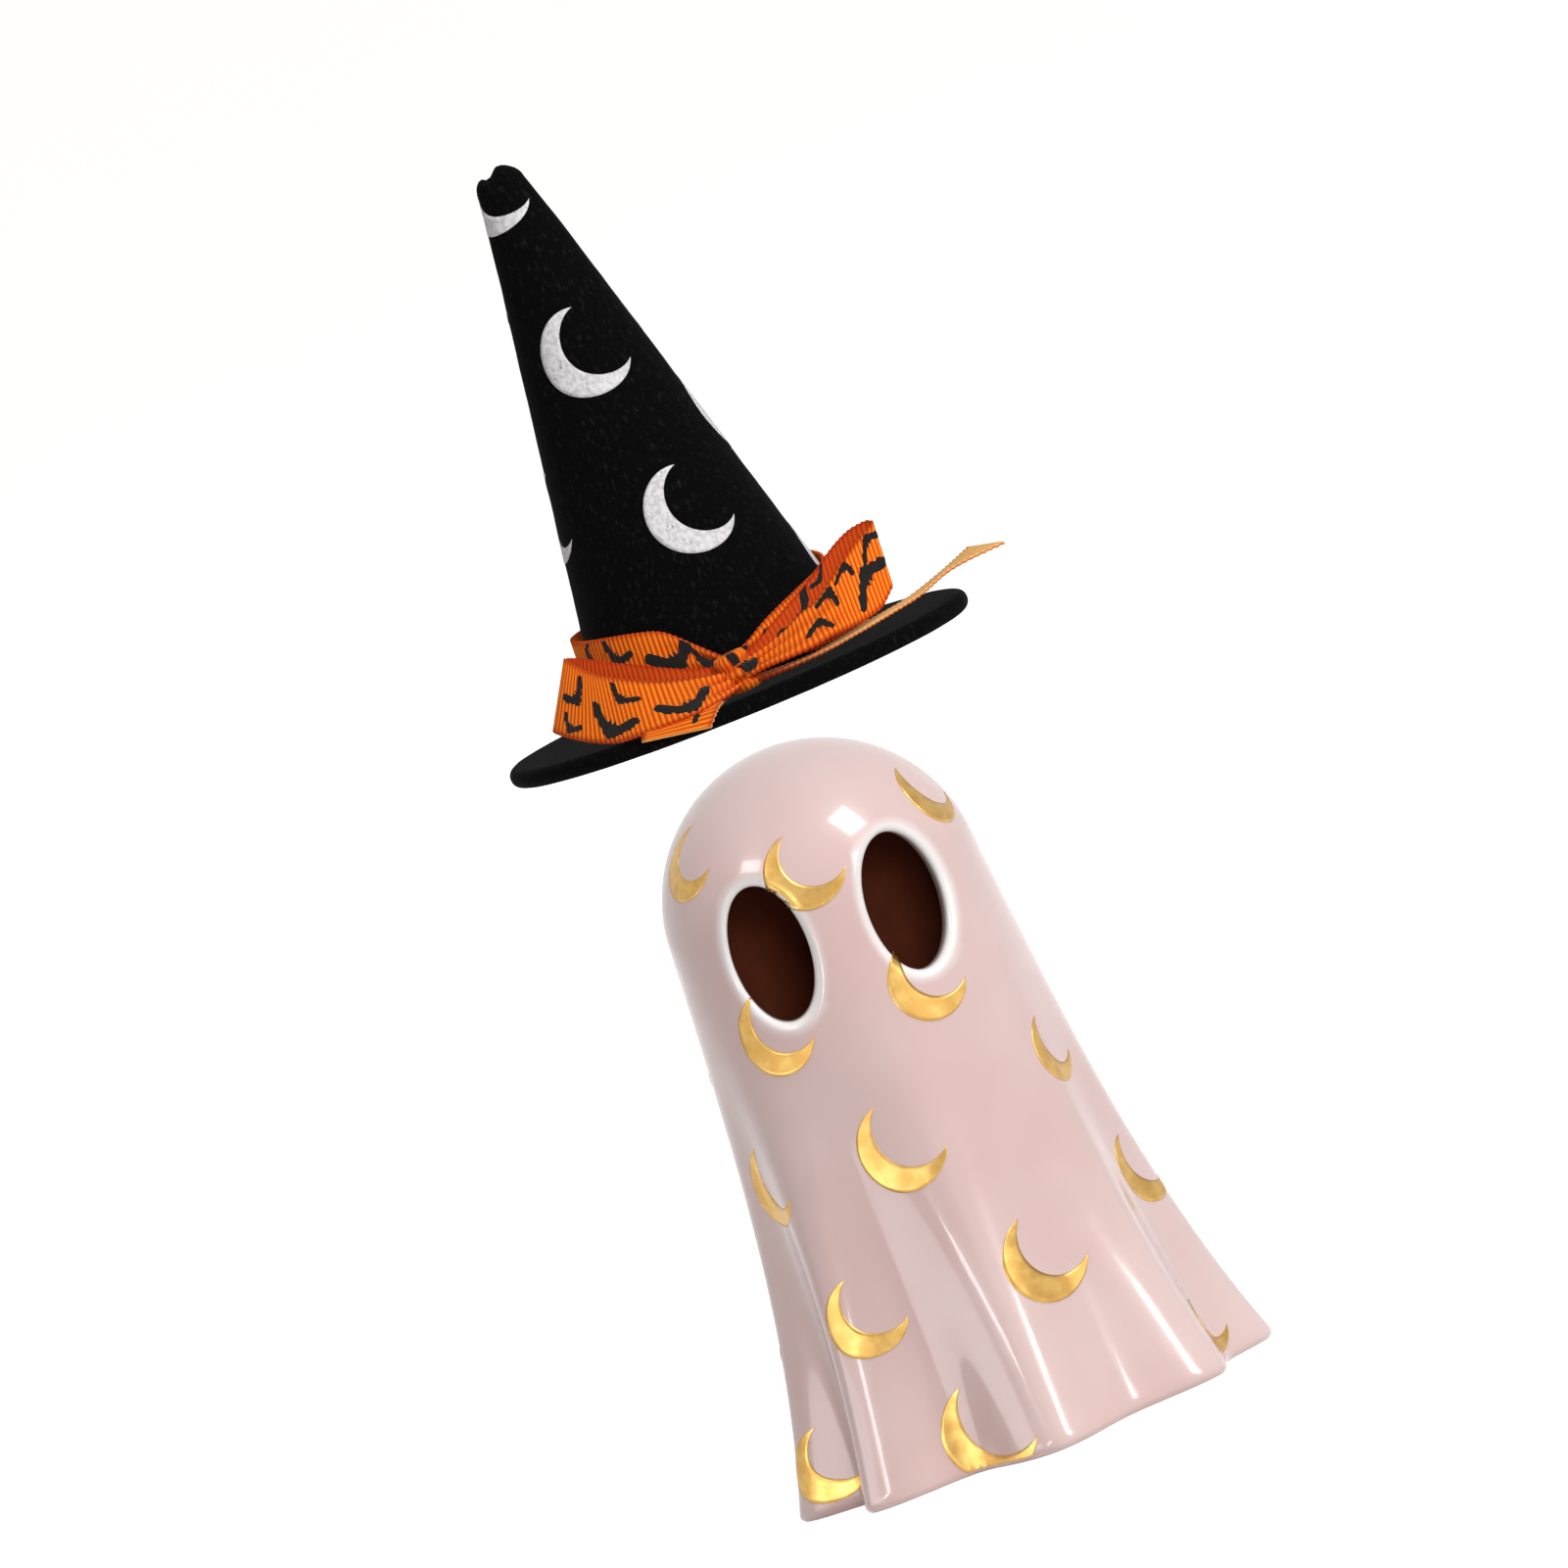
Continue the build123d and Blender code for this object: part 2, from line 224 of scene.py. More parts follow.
# Band: angle from the front in degrees, upper and lower height above the brim,
# and how far the upper and lower edge stand off the felt, in mm
BAND = [
    (-1, 5.2, 2.6, 3.6, 3.4),
    (-9, 7.6, 2.8, 1.6, 2.4),
    (-20, 10.2, 2.6, 0.6, 1.2),
    (-33, 11.3, 2.1, 0.7, 0.5),
    (-55, 12.0, 2.2, 1.0, 0.4),
    (-90, 12.5, 2.5, 1.4, 0.4),
    (-135, 12.8, 2.8, 1.3, 0.4),
    (-180, 13.0, 3.0, 1.0, 0.4),
    (-225, 12.2, 2.2, 0.9, 0.4),
    (-270, 10.5, 0.7, 0.9, 0.5),
    (-310, 9.0, 0.6, 0.7, 0.5),
    (-335, 7.2, 1.4, 0.9, 0.9),
    (-351, 5.2, 2.0, 2.0, 1.8),
    (-359, 4.6, 2.6, 3.2, 3.0),
]
# Knot: middle and half sizes in mm, sideways, forwards and up
KNOT_MIDDLE = (0.7, 22.3, 2.6)
KNOT_HALF = (2.2, 2.9, 2.4)
# Share of the knot's width that is left at its top and bottom, depth and closeness of its creases,
# and its tilt and lean in mm
KNOT_NECK = 0.14
KNOT_CREASE = 0.06
KNOT_CREASES = 7.0
KNOT_TILT = 0.35
KNOT_LEAN = 0.5

# Pleats across the ribbon where it is gathered
PLEATS = 2.5
# Share of its width at which the ribbon counts as flat, and how fast painted shade darkens the valleys of its
# pleats as it is gathered
FLAT_WIDTH = 0.9
GATHER_SHADE = 1.5
# Painted shade over the inside of a loop, painted shadow of the loop at the start of a loose end, and how
# fast the latter fades along the end
LOOP_SHADE = 0.75
END_SHADE = 0.9
END_SHADE_FADE = 1.8
# Half of how far the ribs stand out at the woven edges, in mm
EDGE_LOOPS = 0.06

# Printed bats: place along the ribbon in mm, place across as a share of its width,
# wing span in mm, turn in degrees, and side (1 printed face, -1 reverse)
LEFT_LOOP_BATS = [
    (7.6, 0.29, 8.4, -16, 1), (16.3, 0.68, 5.4, 38, 1), (19.3, 0.24, 8.8, 27, 1),
    (26.2, 0.60, 6.0, -44, 1), (26.8, 0.16, 4.2, 22, 1), (34.5, 0.62, 5.4, 30, 1),
    (38.5, 0.28, 8.2, -12, 1), (46.0, 0.55, 5.4, 20, 1),
]
RIGHT_LOOP_BATS = [
    (11.9, 0.40, 4.4, 168, 1), (14.8, 0.80, 4.6, 140, 1), (18.6, 0.88, 4.2, 160, 1),
    (22.1, 0.46, 8.0, -160, 1), (24.2, 0.84, 4.8, 196, 1), (29.0, 0.40, 5.4, -30, 1),
    (35.5, 0.62, 8.2, 18, 1), (42.0, 0.55, 7.4, -24, -1), (37.0, 0.86, 3.4, -24, -1),
]
BAND_BATS = [
    (2.6, 0.60, 5.0, 14, 1), (7.2, 0.56, 7.8, -22, 1), (15.8, 0.74, 5.2, 27, 1),
    (21.4, 0.84, 3.8, 77, 1),
]
BAND_REPEAT = [(0.0, 0.36, 8.2, 14), (7.6, 0.70, 5.4, -38), (7.6, 0.20, 3.6, 40)]
BAND_REPEAT_STEP = 15.0
BAND_REPEAT_START = 28.0
BAND_REPEAT_END = 108.0
LEFT_TAIL_BATS = [(5.4, 0.62, 5.4, 70, 1), (9.8, 0.34, 4.6, -50, 1)]
RIGHT_TAIL_BATS = [(12.0, 0.36, 5.4, 30, 1), (21.0, 0.60, 8.2, -20, 1), (30.0, 0.4, 5.4, 40, 1)]
KNOT_BATS = [(6.2, 0.56, 6.4, 16, 1)]

# Bat outline from the body to the wing tip, in shares of half the wing span
BAT_UPPER = [
    (0.0, 0.16), (0.05, 0.18), (0.09, 0.38), (0.15, 0.18), (0.30, 0.24),
    (0.52, 0.48), (0.72, 0.68), (0.88, 0.70), (1.0, 0.58),
]
BAT_LOWER = [
    (0.0, -0.48), (0.1, -0.36), (0.22, -0.36), (0.32, -0.15), (0.46, -0.13),
    (0.58, 0.08), (0.74, 0.10), (0.88, 0.36), (1.0, 0.50),
]
# Drop of the outline in the same shares, bare margin along the woven edges as a share of the width,
# and bare margin at the ribbon's ends in mm
BAT_DROP = 0.1
BAT_MARGIN = 0.02
BAT_END = 0.2

# Spots that the lamps aim at, in mm
HEAD_SPOT = (0.0, 0.0, 84.0)
HEM_SPOT = (0.0, 0.0, 20.0)
VALLEY_SPOT = (-5.0, -22.0, 20.0)
# Soft boxes: angle from the front and climb above their spot in degrees, distance in metres,
# width and height in metres, and power in watts
LAMPS = {
    "ghost_key": (51.0, 46.0, 1.35, (0.40, 0.46), 9.0),
    "top_box": (20.0, 80.0, 1.2, (0.5, 0.5), 5.0),
    "hat_key": (40.0, 40.0, 1.4, (0.42, 0.46), 10.5),
    "back_box": (180.0, 35.0, 1.35, (0.4, 0.4), 3.0),
    "face_box": (6.0, 10.0, 1.6, (0.3, 0.3), 5.5),
    "left_key": (-52.0, 41.0, 1.35, (0.34, 0.2), 1.9),
    "left_card": (-72.0, -1.0, 0.11, (0.08, 0.03), 0.027),
    "left_strip": (-37.0, 10.8, 1.0, (0.06, 0.32), 0.9),
    "right_strip": (41.0, 18.5, 1.0, (0.14, 0.30), 1.45),
}
# Lean of the two strips in degrees
LEFT_STRIP_LEAN = 55.0
RIGHT_STRIP_LEAN = -27.0


def linear(red, green, blue):
    """Colour in the shader's own values from one written in 0 to 255."""
    shares = [value / 255.0 for value in (red, green, blue)]
    return tuple(s / 12.92 if s <= 0.04045 else ((s + 0.055) / 1.055) ** 2.4 for s in shares)


def length(name, description, default):
    return FloatProperty(name=name, description=description, default=default, unit="LENGTH", precision=4)


def angle(name, description, degrees):
    return FloatProperty(name=name, description=description, default=math.radians(degrees), subtype="ANGLE")


def colour(name, description, red, green, blue):
    return FloatVectorProperty(
        name=name,
        description=description,
        default=linear(red, green, blue),
        subtype="COLOR",
        min=0.0,
        max=1.0,
    )


def amount(name, description, default):
    return FloatProperty(name=name, description=description, default=default, min=0.0)


class GhostSettings(PropertyGroup):
    height: length("Height", "From the foot to the top of the head", GHOST_TOP)
    head_radius: length("Head radius", "Radius of the round head", 21.0 * MM)
    side_draft: angle("Side draft", "How far the sides lean out below the head", 4.3)
    hem_flare: length("Hem flare", "How far the skirt flares out at the foot", 6.5 * MM)
    wall: length("Wall", "Thickness of the casting", 3.0 * MM)
    hem_round: length("Hem round", "Rounding of the foot's edges", 0.9 * MM)
    eye_width: length("Eye width", "Width of an eye hole", 9.9 * MM)
    eye_height: length("Eye height", "Height of an eye hole", 18.1 * MM)
    eye_drop: length("Eye drop", "How far the eyes sit below the middle of the head", 2.3 * MM)
    eye_lean: angle("Eye lean", "How far the tops of the eyes lean to the right", 2.9)
    eye_rim: length("Eye rim", "Rounding of the rim of an eye hole", 1.3 * MM)
    crescent: length("Crescent radius", "Radius of a full-size gold crescent", 5.95 * MM)
    pink: colour("Pink", "Glaze in the valleys of the folds", 220, 188, 184)
    pale: colour("Pale pink", "Glaze where it runs thin", 230, 207, 203)
    rim_white: colour("Rim white", "Bare white of the eye rims", 246, 242, 240)
    # Dark brown given to the inner skin of the shell
    inside: colour("Inside", "Dark wash inside the shell", 148, 76, 52)
    foot: colour("Foot", "Unglazed clay of the foot", 224, 212, 202)
    gold: colour("Gold", "Gold lustre", 204, 166, 96)
    gold_deep: colour("Deep gold", "Gold lustre where it is thick", 188, 146, 78)


class HatSettings(PropertyGroup):
    brim_radius: length("Brim radius", "Outer radius of the brim", BRIM_HIGH.x)
    brim_thickness: length("Brim thickness", "Thickness of the brim", BRIM_HIGH.z - BRIM_LOW.z)
    brim_round: length("Brim round", "Rounding of the brim's edges", 1.15 * MM)
    bore: length("Bore", "Width of the opening for the head", 33.4 * MM)
    crown_height: length("Crown height", "From the brim to the tip", CONE_HIGH.z - CONE_LOW.z)
    crown_radius: length("Crown radius", "Outer radius of the crown at the brim", CONE_HIGH.x)
    crown_top: length("Crown top", "Outer radius of the crown at its tip", 2.7 * MM)
    tip_round: length("Tip round", "Height of the rounded tip", 2.6 * MM)
    tip_felt: length("Tip felt", "Depth of solid felt at the tip", 7.0 * MM)
    notch: length("Notch", "Depth of the pinch across the tip", 1.1 * MM)
    lean: angle("Lean", "How far the crown leans to the left", 3.2)
    felt: length("Felt", "Thickness of the felt", 1.5 * MM)
    lump: length("Lumps", "Unevenness of the felt", 0.05 * MM)
    crescent: length("Crescent radius", "Radius of a silver crescent", 5.9 * MM)
    black: colour("Black", "Dyed felt", 9, 9, 9)
    fleck: colour("Flecks", "Lint and lighter fibres in the felt", 34, 33, 32)
    silver: colour("Silver", "Silver print", 228, 228, 230)


class RibbonSettings(PropertyGroup):
    width: length("Width", "Width of the ribbon", 10.0 * MM)
    thickness: length("Thickness", "Thickness of the ribbon", 0.36 * MM)
    rib_pitch: length("Rib pitch", "Distance between the ribs of the weave", 0.76 * MM)
    rib_depth: length("Rib depth", "Height of a rib above the middle of the weave", 0.055 * MM)
    pleat: length("Pleat", "Depth of the pleats where the ribbon is gathered", 0.5 * MM)
    knot_pleat: length("Knot pleat", "Depth of the pleats in the knot", 1.0 * MM)
    # Painted highlight on the rib crests and painted shade in the grooves between them, over the ribs' own
    # small relief
    lit_crest: colour("Crest", "Orange on the ribs", 255, 150, 34)
    groove: colour("Groove", "Orange between the ribs", 226, 70, 4)
    ink: colour("Ink", "Black print", 15, 12, 11)
    # Painted sheen: paler oranges for a loose end's underside, as if lit at a grazing angle, with painted
    # highlight and shade on its ribs
    sheen_crest: colour("Back crest", "Orange on the ribs of a loose end's reverse", 255, 216, 142)
    sheen_groove: colour("Back groove", "Orange between the ribs of a loose end's reverse", 255, 184, 96)
    # Colour of painted shade in the valleys of gathered pleats and over the inside of the loops, and of
    # painted shadow at the start of the loose ends; it also darkens the cloth towards both woven edges
    crease: colour("Crease", "Deep orange of creases and woven edges", 180, 40, 4)


class StageSettings(PropertyGroup):
    distance: length("Camera distance", "From the camera to the figure", 2.5)
    view_width: length("View width", "Width of the picture at the figure", 201.9 * MM)
    elevation: angle("Elevation", "How far the camera looks down", 5.0)
    roll: angle("Roll", "How far the camera is turned about its line of sight", 22.0)
    target_x: length("Target sideways", "Sideways place of the middle of the picture", 0.76 * MM)
    target_z: length("Target height", "Height of the middle of the picture", 89.8 * MM)
    floor_size: length("Floor size", "Half width of the floor", 20.0)
    floor: colour("Floor", "Plain pale floor", 240, 240, 240)
    fill: amount("Fill", "Strength of the light from all round", 0.25)
    fill_tint: colour("Fill tint", "Colour of the light from all round", 255, 246, 242)
    glow: amount("Floor glow", "How far the floor is lifted towards white", 0.79)


# Finishes

class Finish:
    """Nodes of one procedural material, laid out around its principled shader."""

    def __init__(self, name):
        self.material = bpy.data.materials.new(name)
        self.material.use_nodes = True
        self.tree = self.material.node_tree
        self.shader = self.tree.nodes["Principled BSDF"]

    def add(self, kind, **values):
        node = self.tree.nodes.new(kind)
        for key, value in values.items():
            setattr(node, key, value)
        return node

    def join(self, source, target):
        self.tree.links.new(source, target)

    def set(self, **values):
        for key, value in values.items():
            socket = key.replace("_", " ").title().replace("Ior", "IOR")
            self.shader.inputs[socket].default_value = value

    def coordinates(self, stretch=(1.0, 1.0, 1.0)):
        place = self.add("ShaderNodeTexCoord")
        mapping = self.add("ShaderNodeMapping")
        mapping.inputs["Scale"].default_value = stretch
        self.join(place.outputs["Object"], mapping.inputs["Vector"])
        return mapping.outputs["Vector"]

    def noise(self, size, detail=3.0, stretch=(1.0, 1.0, 1.0)):
        """Cloudy pattern whose patches are about size metres across."""
        texture = self.add("ShaderNodeTexNoise")
        texture.inputs["Scale"].default_value = 1.0 / size
        texture.inputs["Detail"].default_value = detail
        self.join(self.coordinates(stretch), texture.inputs["Vector"])
        return texture.outputs["Fac"]

    def span(self, source, low, high, to_low=0.0, to_high=1.0):
        """Stretches part of a pattern over a new range."""
        node = self.add("ShaderNodeMapRange", interpolation_type="SMOOTHSTEP")
        for key, value in (("From Min", low), ("From Max", high), ("To Min", to_low), ("To Max", to_high)):
            node.inputs[key].default_value = value
        self.join(source, node.inputs["Value"])
        return node.outputs["Result"]

    def attribute(self, name):
        return self.add("ShaderNodeAttribute", attribute_name=name).outputs["Fac"]

    def mix(self, factor, first, second):
        """Mixes two colours, each a colour value or the output of a node."""
        node = self.add("ShaderNodeMix", data_type="RGBA")
        self.join(factor, node.inputs["Factor"])
        for socket, value in ((node.inputs[6], first), (node.inputs[7], second)):
            if isinstance(value, bpy.types.NodeSocket):
                self.join(value, socket)
            else:
                socket.default_value = (*value, 1.0)
        return node.outputs[2]

    def base(self, output):
        self.join(output, self.shader.inputs["Base Color"])

    def rough(self, output):
        self.join(output, self.shader.inputs["Roughness"])

    def bump(self, height, strength, distance):
        node = self.add("ShaderNodeBump")
        node.inputs["Strength"].default_value = strength
        node.inputs["Distance"].default_value = distance
        self.join(height, node.inputs["Height"])
        self.join(node.outputs["Normal"], self.shader.inputs["Normal"])


def pink_glaze(ghost):
    finish = Finish("pink_glaze")
    finish.set(coat_weight=0.42, coat_roughness=0.025, specular_ior_level=0.35)
    cloud = finish.span(finish.noise(26 * MM, 2.0), 0.3, 0.7, 0.0, 0.6)
    body = finish.mix(cloud, ghost.pink, ghost.pale)
    body = finish.mix(finish.span(finish.attribute("thin"), 0.15, 1.0, 0.0, 0.8), body, ghost.pale)
    finish.base(finish.mix(finish.attribute("rim"), body, ghost.rim_white))
    finish.rough(finish.span(finish.noise(5 * MM), 0.3, 0.7, 0.16, 0.26))
    finish.bump(finish.noise(2.4 * MM, 1.0), 0.05, 0.2 * MM)
    return finish.material


# Dark brown for the inner skin of the shell
def dark_brown_inside(ghost):
    finish = Finish("dark_brown_inside")
    finish.set(roughness=0.9, specular_ior_level=0.1)
    darker = tuple(0.6 * value for value in ghost.inside)
    finish.base(finish.mix(finish.noise(6 * MM), darker, ghost.inside))
    finish.bump(finish.noise(0.8 * MM), 0.3, 0.1 * MM)
    return finish.material


def bare_clay(ghost):
    finish = Finish("bare_clay")
    finish.set(roughness=0.95, specular_ior_level=0.2)
    darker = tuple(0.82 * value for value in ghost.foot)
    finish.base(finish.mix(finish.noise(1.2 * MM), darker, ghost.foot))
    finish.bump(finish.noise(0.4 * MM), 0.3, 0.08 * MM)
    return finish.material


def gold_lustre(ghost):
    finish = Finish("gold_lustre")
    finish.set(metallic=1.0)
    patches = finish.span(finish.noise(2.2 * MM, 4.0), 0.35, 0.68)
    finish.base(finish.mix(patches, ghost.gold_deep, ghost.gold))
    finish.rough(finish.span(finish.noise(0.8 * MM), 0.3, 0.7, 0.28, 0.38))
    finish.bump(finish.noise(0.5 * MM, 2.0), 0.06, 0.05 * MM)
    return finish.material


def black_felt(hat):
    finish = Finish("black_felt")
    finish.set(roughness=0.96, specular_ior_level=0.03)
    fibres = finish.span(finish.noise(0.5 * MM, 5.0, (1.0, 1.0, 0.45)), 0.52, 0.82)
    finish.base(finish.mix(fibres, hat.black, hat.fleck))
    finish.bump(finish.noise(0.42 * MM, 4.0), 0.7, 0.25 * MM)
    return finish.material


def silver_print(hat):
    finish = Finish("silver_print")
    finish.set(roughness=0.6, specular_ior_level=0.35)
    gaps = finish.span(finish.noise(0.55 * MM, 6.0, (1.0, 1.0, 0.5)), 0.60, 0.76)
    shade = tuple(0.74 * value for value in hat.silver)
    cloth = finish.mix(finish.span(finish.noise(0.6 * MM, 5.0), 0.35, 0.62), shade, hat.silver)
    grey = tuple(0.25 * value for value in hat.silver)
    finish.base(finish.mix(gaps, cloth, grey))
    finish.bump(finish.noise(0.4 * MM, 4.0), 0.5, 0.15 * MM)
    return finish.material


def ribbon_place(finish):
    """Distance along and across the ribbon in millimetres."""
    split = finish.add("ShaderNodeSeparateXYZ")
    finish.join(finish.add("ShaderNodeUVMap", uv_map="ribbon").outputs["UV"], split.inputs["Vector"])
    return split.outputs["X"], split.outputs["Y"]


def rib_wave(finish, ribbon, along):
    """Pattern that is 1 on a rib of the weave and 0 between ribs."""
    turn = finish.add("ShaderNodeMath", operation="MULTIPLY")
    turn.inputs[1].default_value = math.tau * MM / ribbon.rib_pitch
    finish.join(along, turn.inputs[0])
    wave = finish.add("ShaderNodeMath", operation="COSINE")
    finish.join(turn.outputs["Value"], wave.inputs[0])
    return finish.span(wave.outputs["Value"], -1.0, 1.0)


def woven_edge(finish, ribbon, across):
    """Pattern that rises from 0 over the woven edges."""
    half = ribbon.width / MM / 2
    middle = finish.add("ShaderNodeMath", operation="SUBTRACT")
    middle.inputs[1].default_value = half
    finish.join(across, middle.inputs[0])
    distance = finish.add("ShaderNodeMath", operation="ABSOLUTE")
    finish.join(middle.outputs["Value"], distance.inputs[0])
    return finish.span(distance.outputs["Value"], 0.82 * half, half, 0.0, 0.75)


def orange_ribbon(ribbon):
    finish = Finish("orange_ribbon")
    finish.set(roughness=0.7, specular_ior_level=0.12)
    along, across = ribbon_place(finish)
    ribs = rib_wave(finish, ribbon, along)
    # Painted highlight on the rib crests and painted shade in the grooves between them
    front = finish.mix(ribs, ribbon.groove, ribbon.lit_crest)
    # Painted sheen: the paler rib colours of a loose end's underside
    back = finish.mix(ribs, ribbon.sheen_groove, ribbon.sheen_crest)
    # Darker towards both woven edges
    cloth = finish.mix(woven_edge(finish, ribbon, across), front, ribbon.crease)
    # Painted sheen on the underside of the loose ends
    cloth = finish.mix(finish.attribute("painted_sheen"), cloth, back)
    # Painted shade and painted shadow where the crease attribute is set
    cloth = finish.mix(finish.attribute("crease"), cloth, ribbon.crease)
    darker = tuple(0.8 * value for value in ribbon.groove)
    threads = finish.span(finish.noise(0.3 * MM, 3.0), 0.55, 0.8, 0.0, 0.5)
    finish.base(finish.mix(threads, cloth, darker))
    finish.bump(finish.noise(0.22 * MM, 2.0), 0.25, 0.06 * MM)
    return finish.material


def black_ink(ribbon):
    finish = Finish("black_ink")
    finish.set(roughness=0.7, specular_ior_level=0.15)
    worn = tuple(1.6 * value for value in ribbon.ink)
    finish.base(finish.mix(finish.span(finish.noise(0.4 * MM), 0.5, 0.8), ribbon.ink, worn))
    return finish.material


# Mesh helpers

def smooth_step(value):
    value = min(1.0, max(0.0, value))
    return value * value * (3.0 - 2.0 * value)


def make_piece(name, bm, materials, body, slot, *nodes):
    """Turns a bmesh into a smooth-shaded piece that rides on a body and stands for its CAD nodes."""
    bm.normal_update()
    mesh = bpy.data.meshes.new(name)
    bm.to_mesh(mesh)
    bm.free()
    mesh.shade_smooth()
    for material in materials:
        mesh.materials.append(material)
    piece = bpy.data.objects.new(name, mesh)
    bpy.context.scene.collection.objects.link(piece)
    # The hat isn't mirrored in the glaze
    piece.visible_glossy = body != "hat"
    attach(piece, body)
    if nodes:
        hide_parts(*nodes)
    return piece


def draw_line(bm, points, closed=False):
    """Draws a line of points and returns its vertices."""
    verts = [bm.verts.new(point) for point in points]
    pairs = list(zip(verts, verts[1:]))
    if closed:
        pairs.append((verts[-1], verts[0]))
    for pair in pairs:
        bm.edges.new(pair)
    return verts


def spin_line(bm, columns):
    """Turns the drawn line round the upright axis into a closed skin with outward faces."""
    axis = {"axis": (0, 0, 1), "cent": (0, 0, 0)}
    sector = math.tau / SECTORS
    bmesh.ops.spin(bm, geom=bm.verts[:] + bm.edges[:], angle=sector, steps=columns // SECTORS, **axis)
    part = bm.verts[:] + bm.edges[:] + bm.faces[:]
    bmesh.ops.spin(bm, geom=part, angle=math.tau - sector, steps=SECTORS - 1, use_duplicate=True, **axis)
    bmesh.ops.remove_doubles(bm, verts=bm.verts[:], dist=1e-7)
    bmesh.ops.recalc_face_normals(bm, faces=bm.faces[:])


def arc_points(centre, radius, start, end, steps, first=1):
    """Points of an arc in the radius and height plane, without its first one unless first is 0."""
    points = []
    for step in range(first, steps + 1):
        turn = math.radians(start + (end - start) * step / steps)
        points.append((centre[0] + radius * math.cos(turn), 0.0, centre[1] + radius * math.sin(turn)))
    return points


# Ghost shell

def head_middle(ghost):
    return ghost.height - ghost.head_radius


def shoulder(ghost):
    """Height and radius where the round head meets the sides."""
    return (
        head_middle(ghost) + ghost.head_radius * math.sin(ghost.side_draft),
        ghost.head_radius * math.cos(ghost.side_draft),
    )


def fold_depth(turn):
    """How far the hem lies inside its outer line, at an angle from the front."""
    degrees = math.degrees(turn) % 360.0
    for index, (ridge, inset, valley) in enumerate(FOLDS):
        following, next_inset, _ = FOLDS[(index + 1) % len(FOLDS)]
        share = ((degrees - ridge) % 360.0) / ((following - ridge) % 360.0)
        if share < 1.0:
            drop = inset + (next_inset - inset) * smooth_step(share)
            return MM * (drop + valley * math.sin(math.pi * share) ** RIDGE_POWER)
    return MM * FOLDS[0][1]


def skirt_fall(ghost, z):
    return max(0.0, 1.0 - z / shoulder(ghost)[0])


def ridge_radius(ghost, z):
    """Radius of the sides without their folds."""
    shoulder_z, shoulder_radius = shoulder(ghost)
    flare = ghost.hem_flare * skirt_fall(ghost, z) ** FLARE_POWER
    return shoulder_radius + (shoulder_z - z) * math.tan(ghost.side_draft) + flare


def shell_radius(ghost, turn, z, inset=0.0):
    """Radius of the outer skin, or of the inner one with the wall as inset."""
    middle = head_middle(ghost)
    radius = ghost.head_radius - inset
    if z >= middle + radius * math.sin(ghost.side_draft):
        return math.sqrt(max(0.0, radius ** 2 - (z - middle) ** 2))
    return ridge_radius(ghost, z) - fold_depth(turn) * skirt_fall(ghost, z) ** FOLD_POWER - inset


def skin_point(ghost, x, z, inset=0.0):
    """Point of the front of the skin, seen straight from the front at x and z."""
    turn = 0.0
    for _ in range(6):
        radius = shell_radius(ghost, turn, z, inset)
        turn = math.asin(max(-1.0, min(1.0, x / max(radius, 1e-9))))
    return Vector((x, -radius * math.cos(turn), z))


class Eye:
    """One eye hole: an ellipse seen from the front, cut along its own line into the head."""

    def __init__(self, ghost, x, turn):
        self.ghost = ghost
        self.x = x * MM
        self.z = head_middle(ghost) - ghost.eye_drop
        self.half = Vector((ghost.eye_width / 2, ghost.eye_height / 2))
        self.inward = Vector((-math.sin(math.radians(turn)), math.cos(math.radians(turn)), 0.0))
        self.lean = Matrix.Rotation(-ghost.eye_lean, 2)

    def local(self, point):
        """Place of a point in the eye's own upright frame, seen from the front."""
        return self.lean.transposed() @ Vector((point.x - self.x, point.z - self.z))

    def spread(self, point):
        """How far a point lies outside the edge of the hole, seen from the front."""
        place = self.local(point)
        low, high = -0.9 * self.half.x, self.half.x
        if abs(place.x) > 2.0 * self.half.x or abs(place.y) > self.half.x + self.half.y:
            return high
        for _ in range(24):
            middle = (low + high) / 2
            share = (place.x / (self.half.x + middle)) ** 2 + (place.y / (self.half.y + middle)) ** 2
            low, high = (middle, high) if share > 1.0 else (low, middle)
        return (low + high) / 2

    def ring(self, turn, spread, shift=0.0):
        """Sideways place and height on an ellipse round the hole."""
        flat = Vector(((self.half.x + spread) * math.cos(turn), (self.half.y + spread) * math.sin(turn)))
        flat = self.lean @ flat
        return self.x + shift + flat.x, self.z + flat.y

    def dip(self, spread):
        """How deep the rounded rim lies below the skin."""
        rim = self.ghost.eye_rim
        inner = rim - min(max(spread, 0.0), rim)
        return rim - math.sqrt(max(0.0, rim ** 2 - inner ** 2))


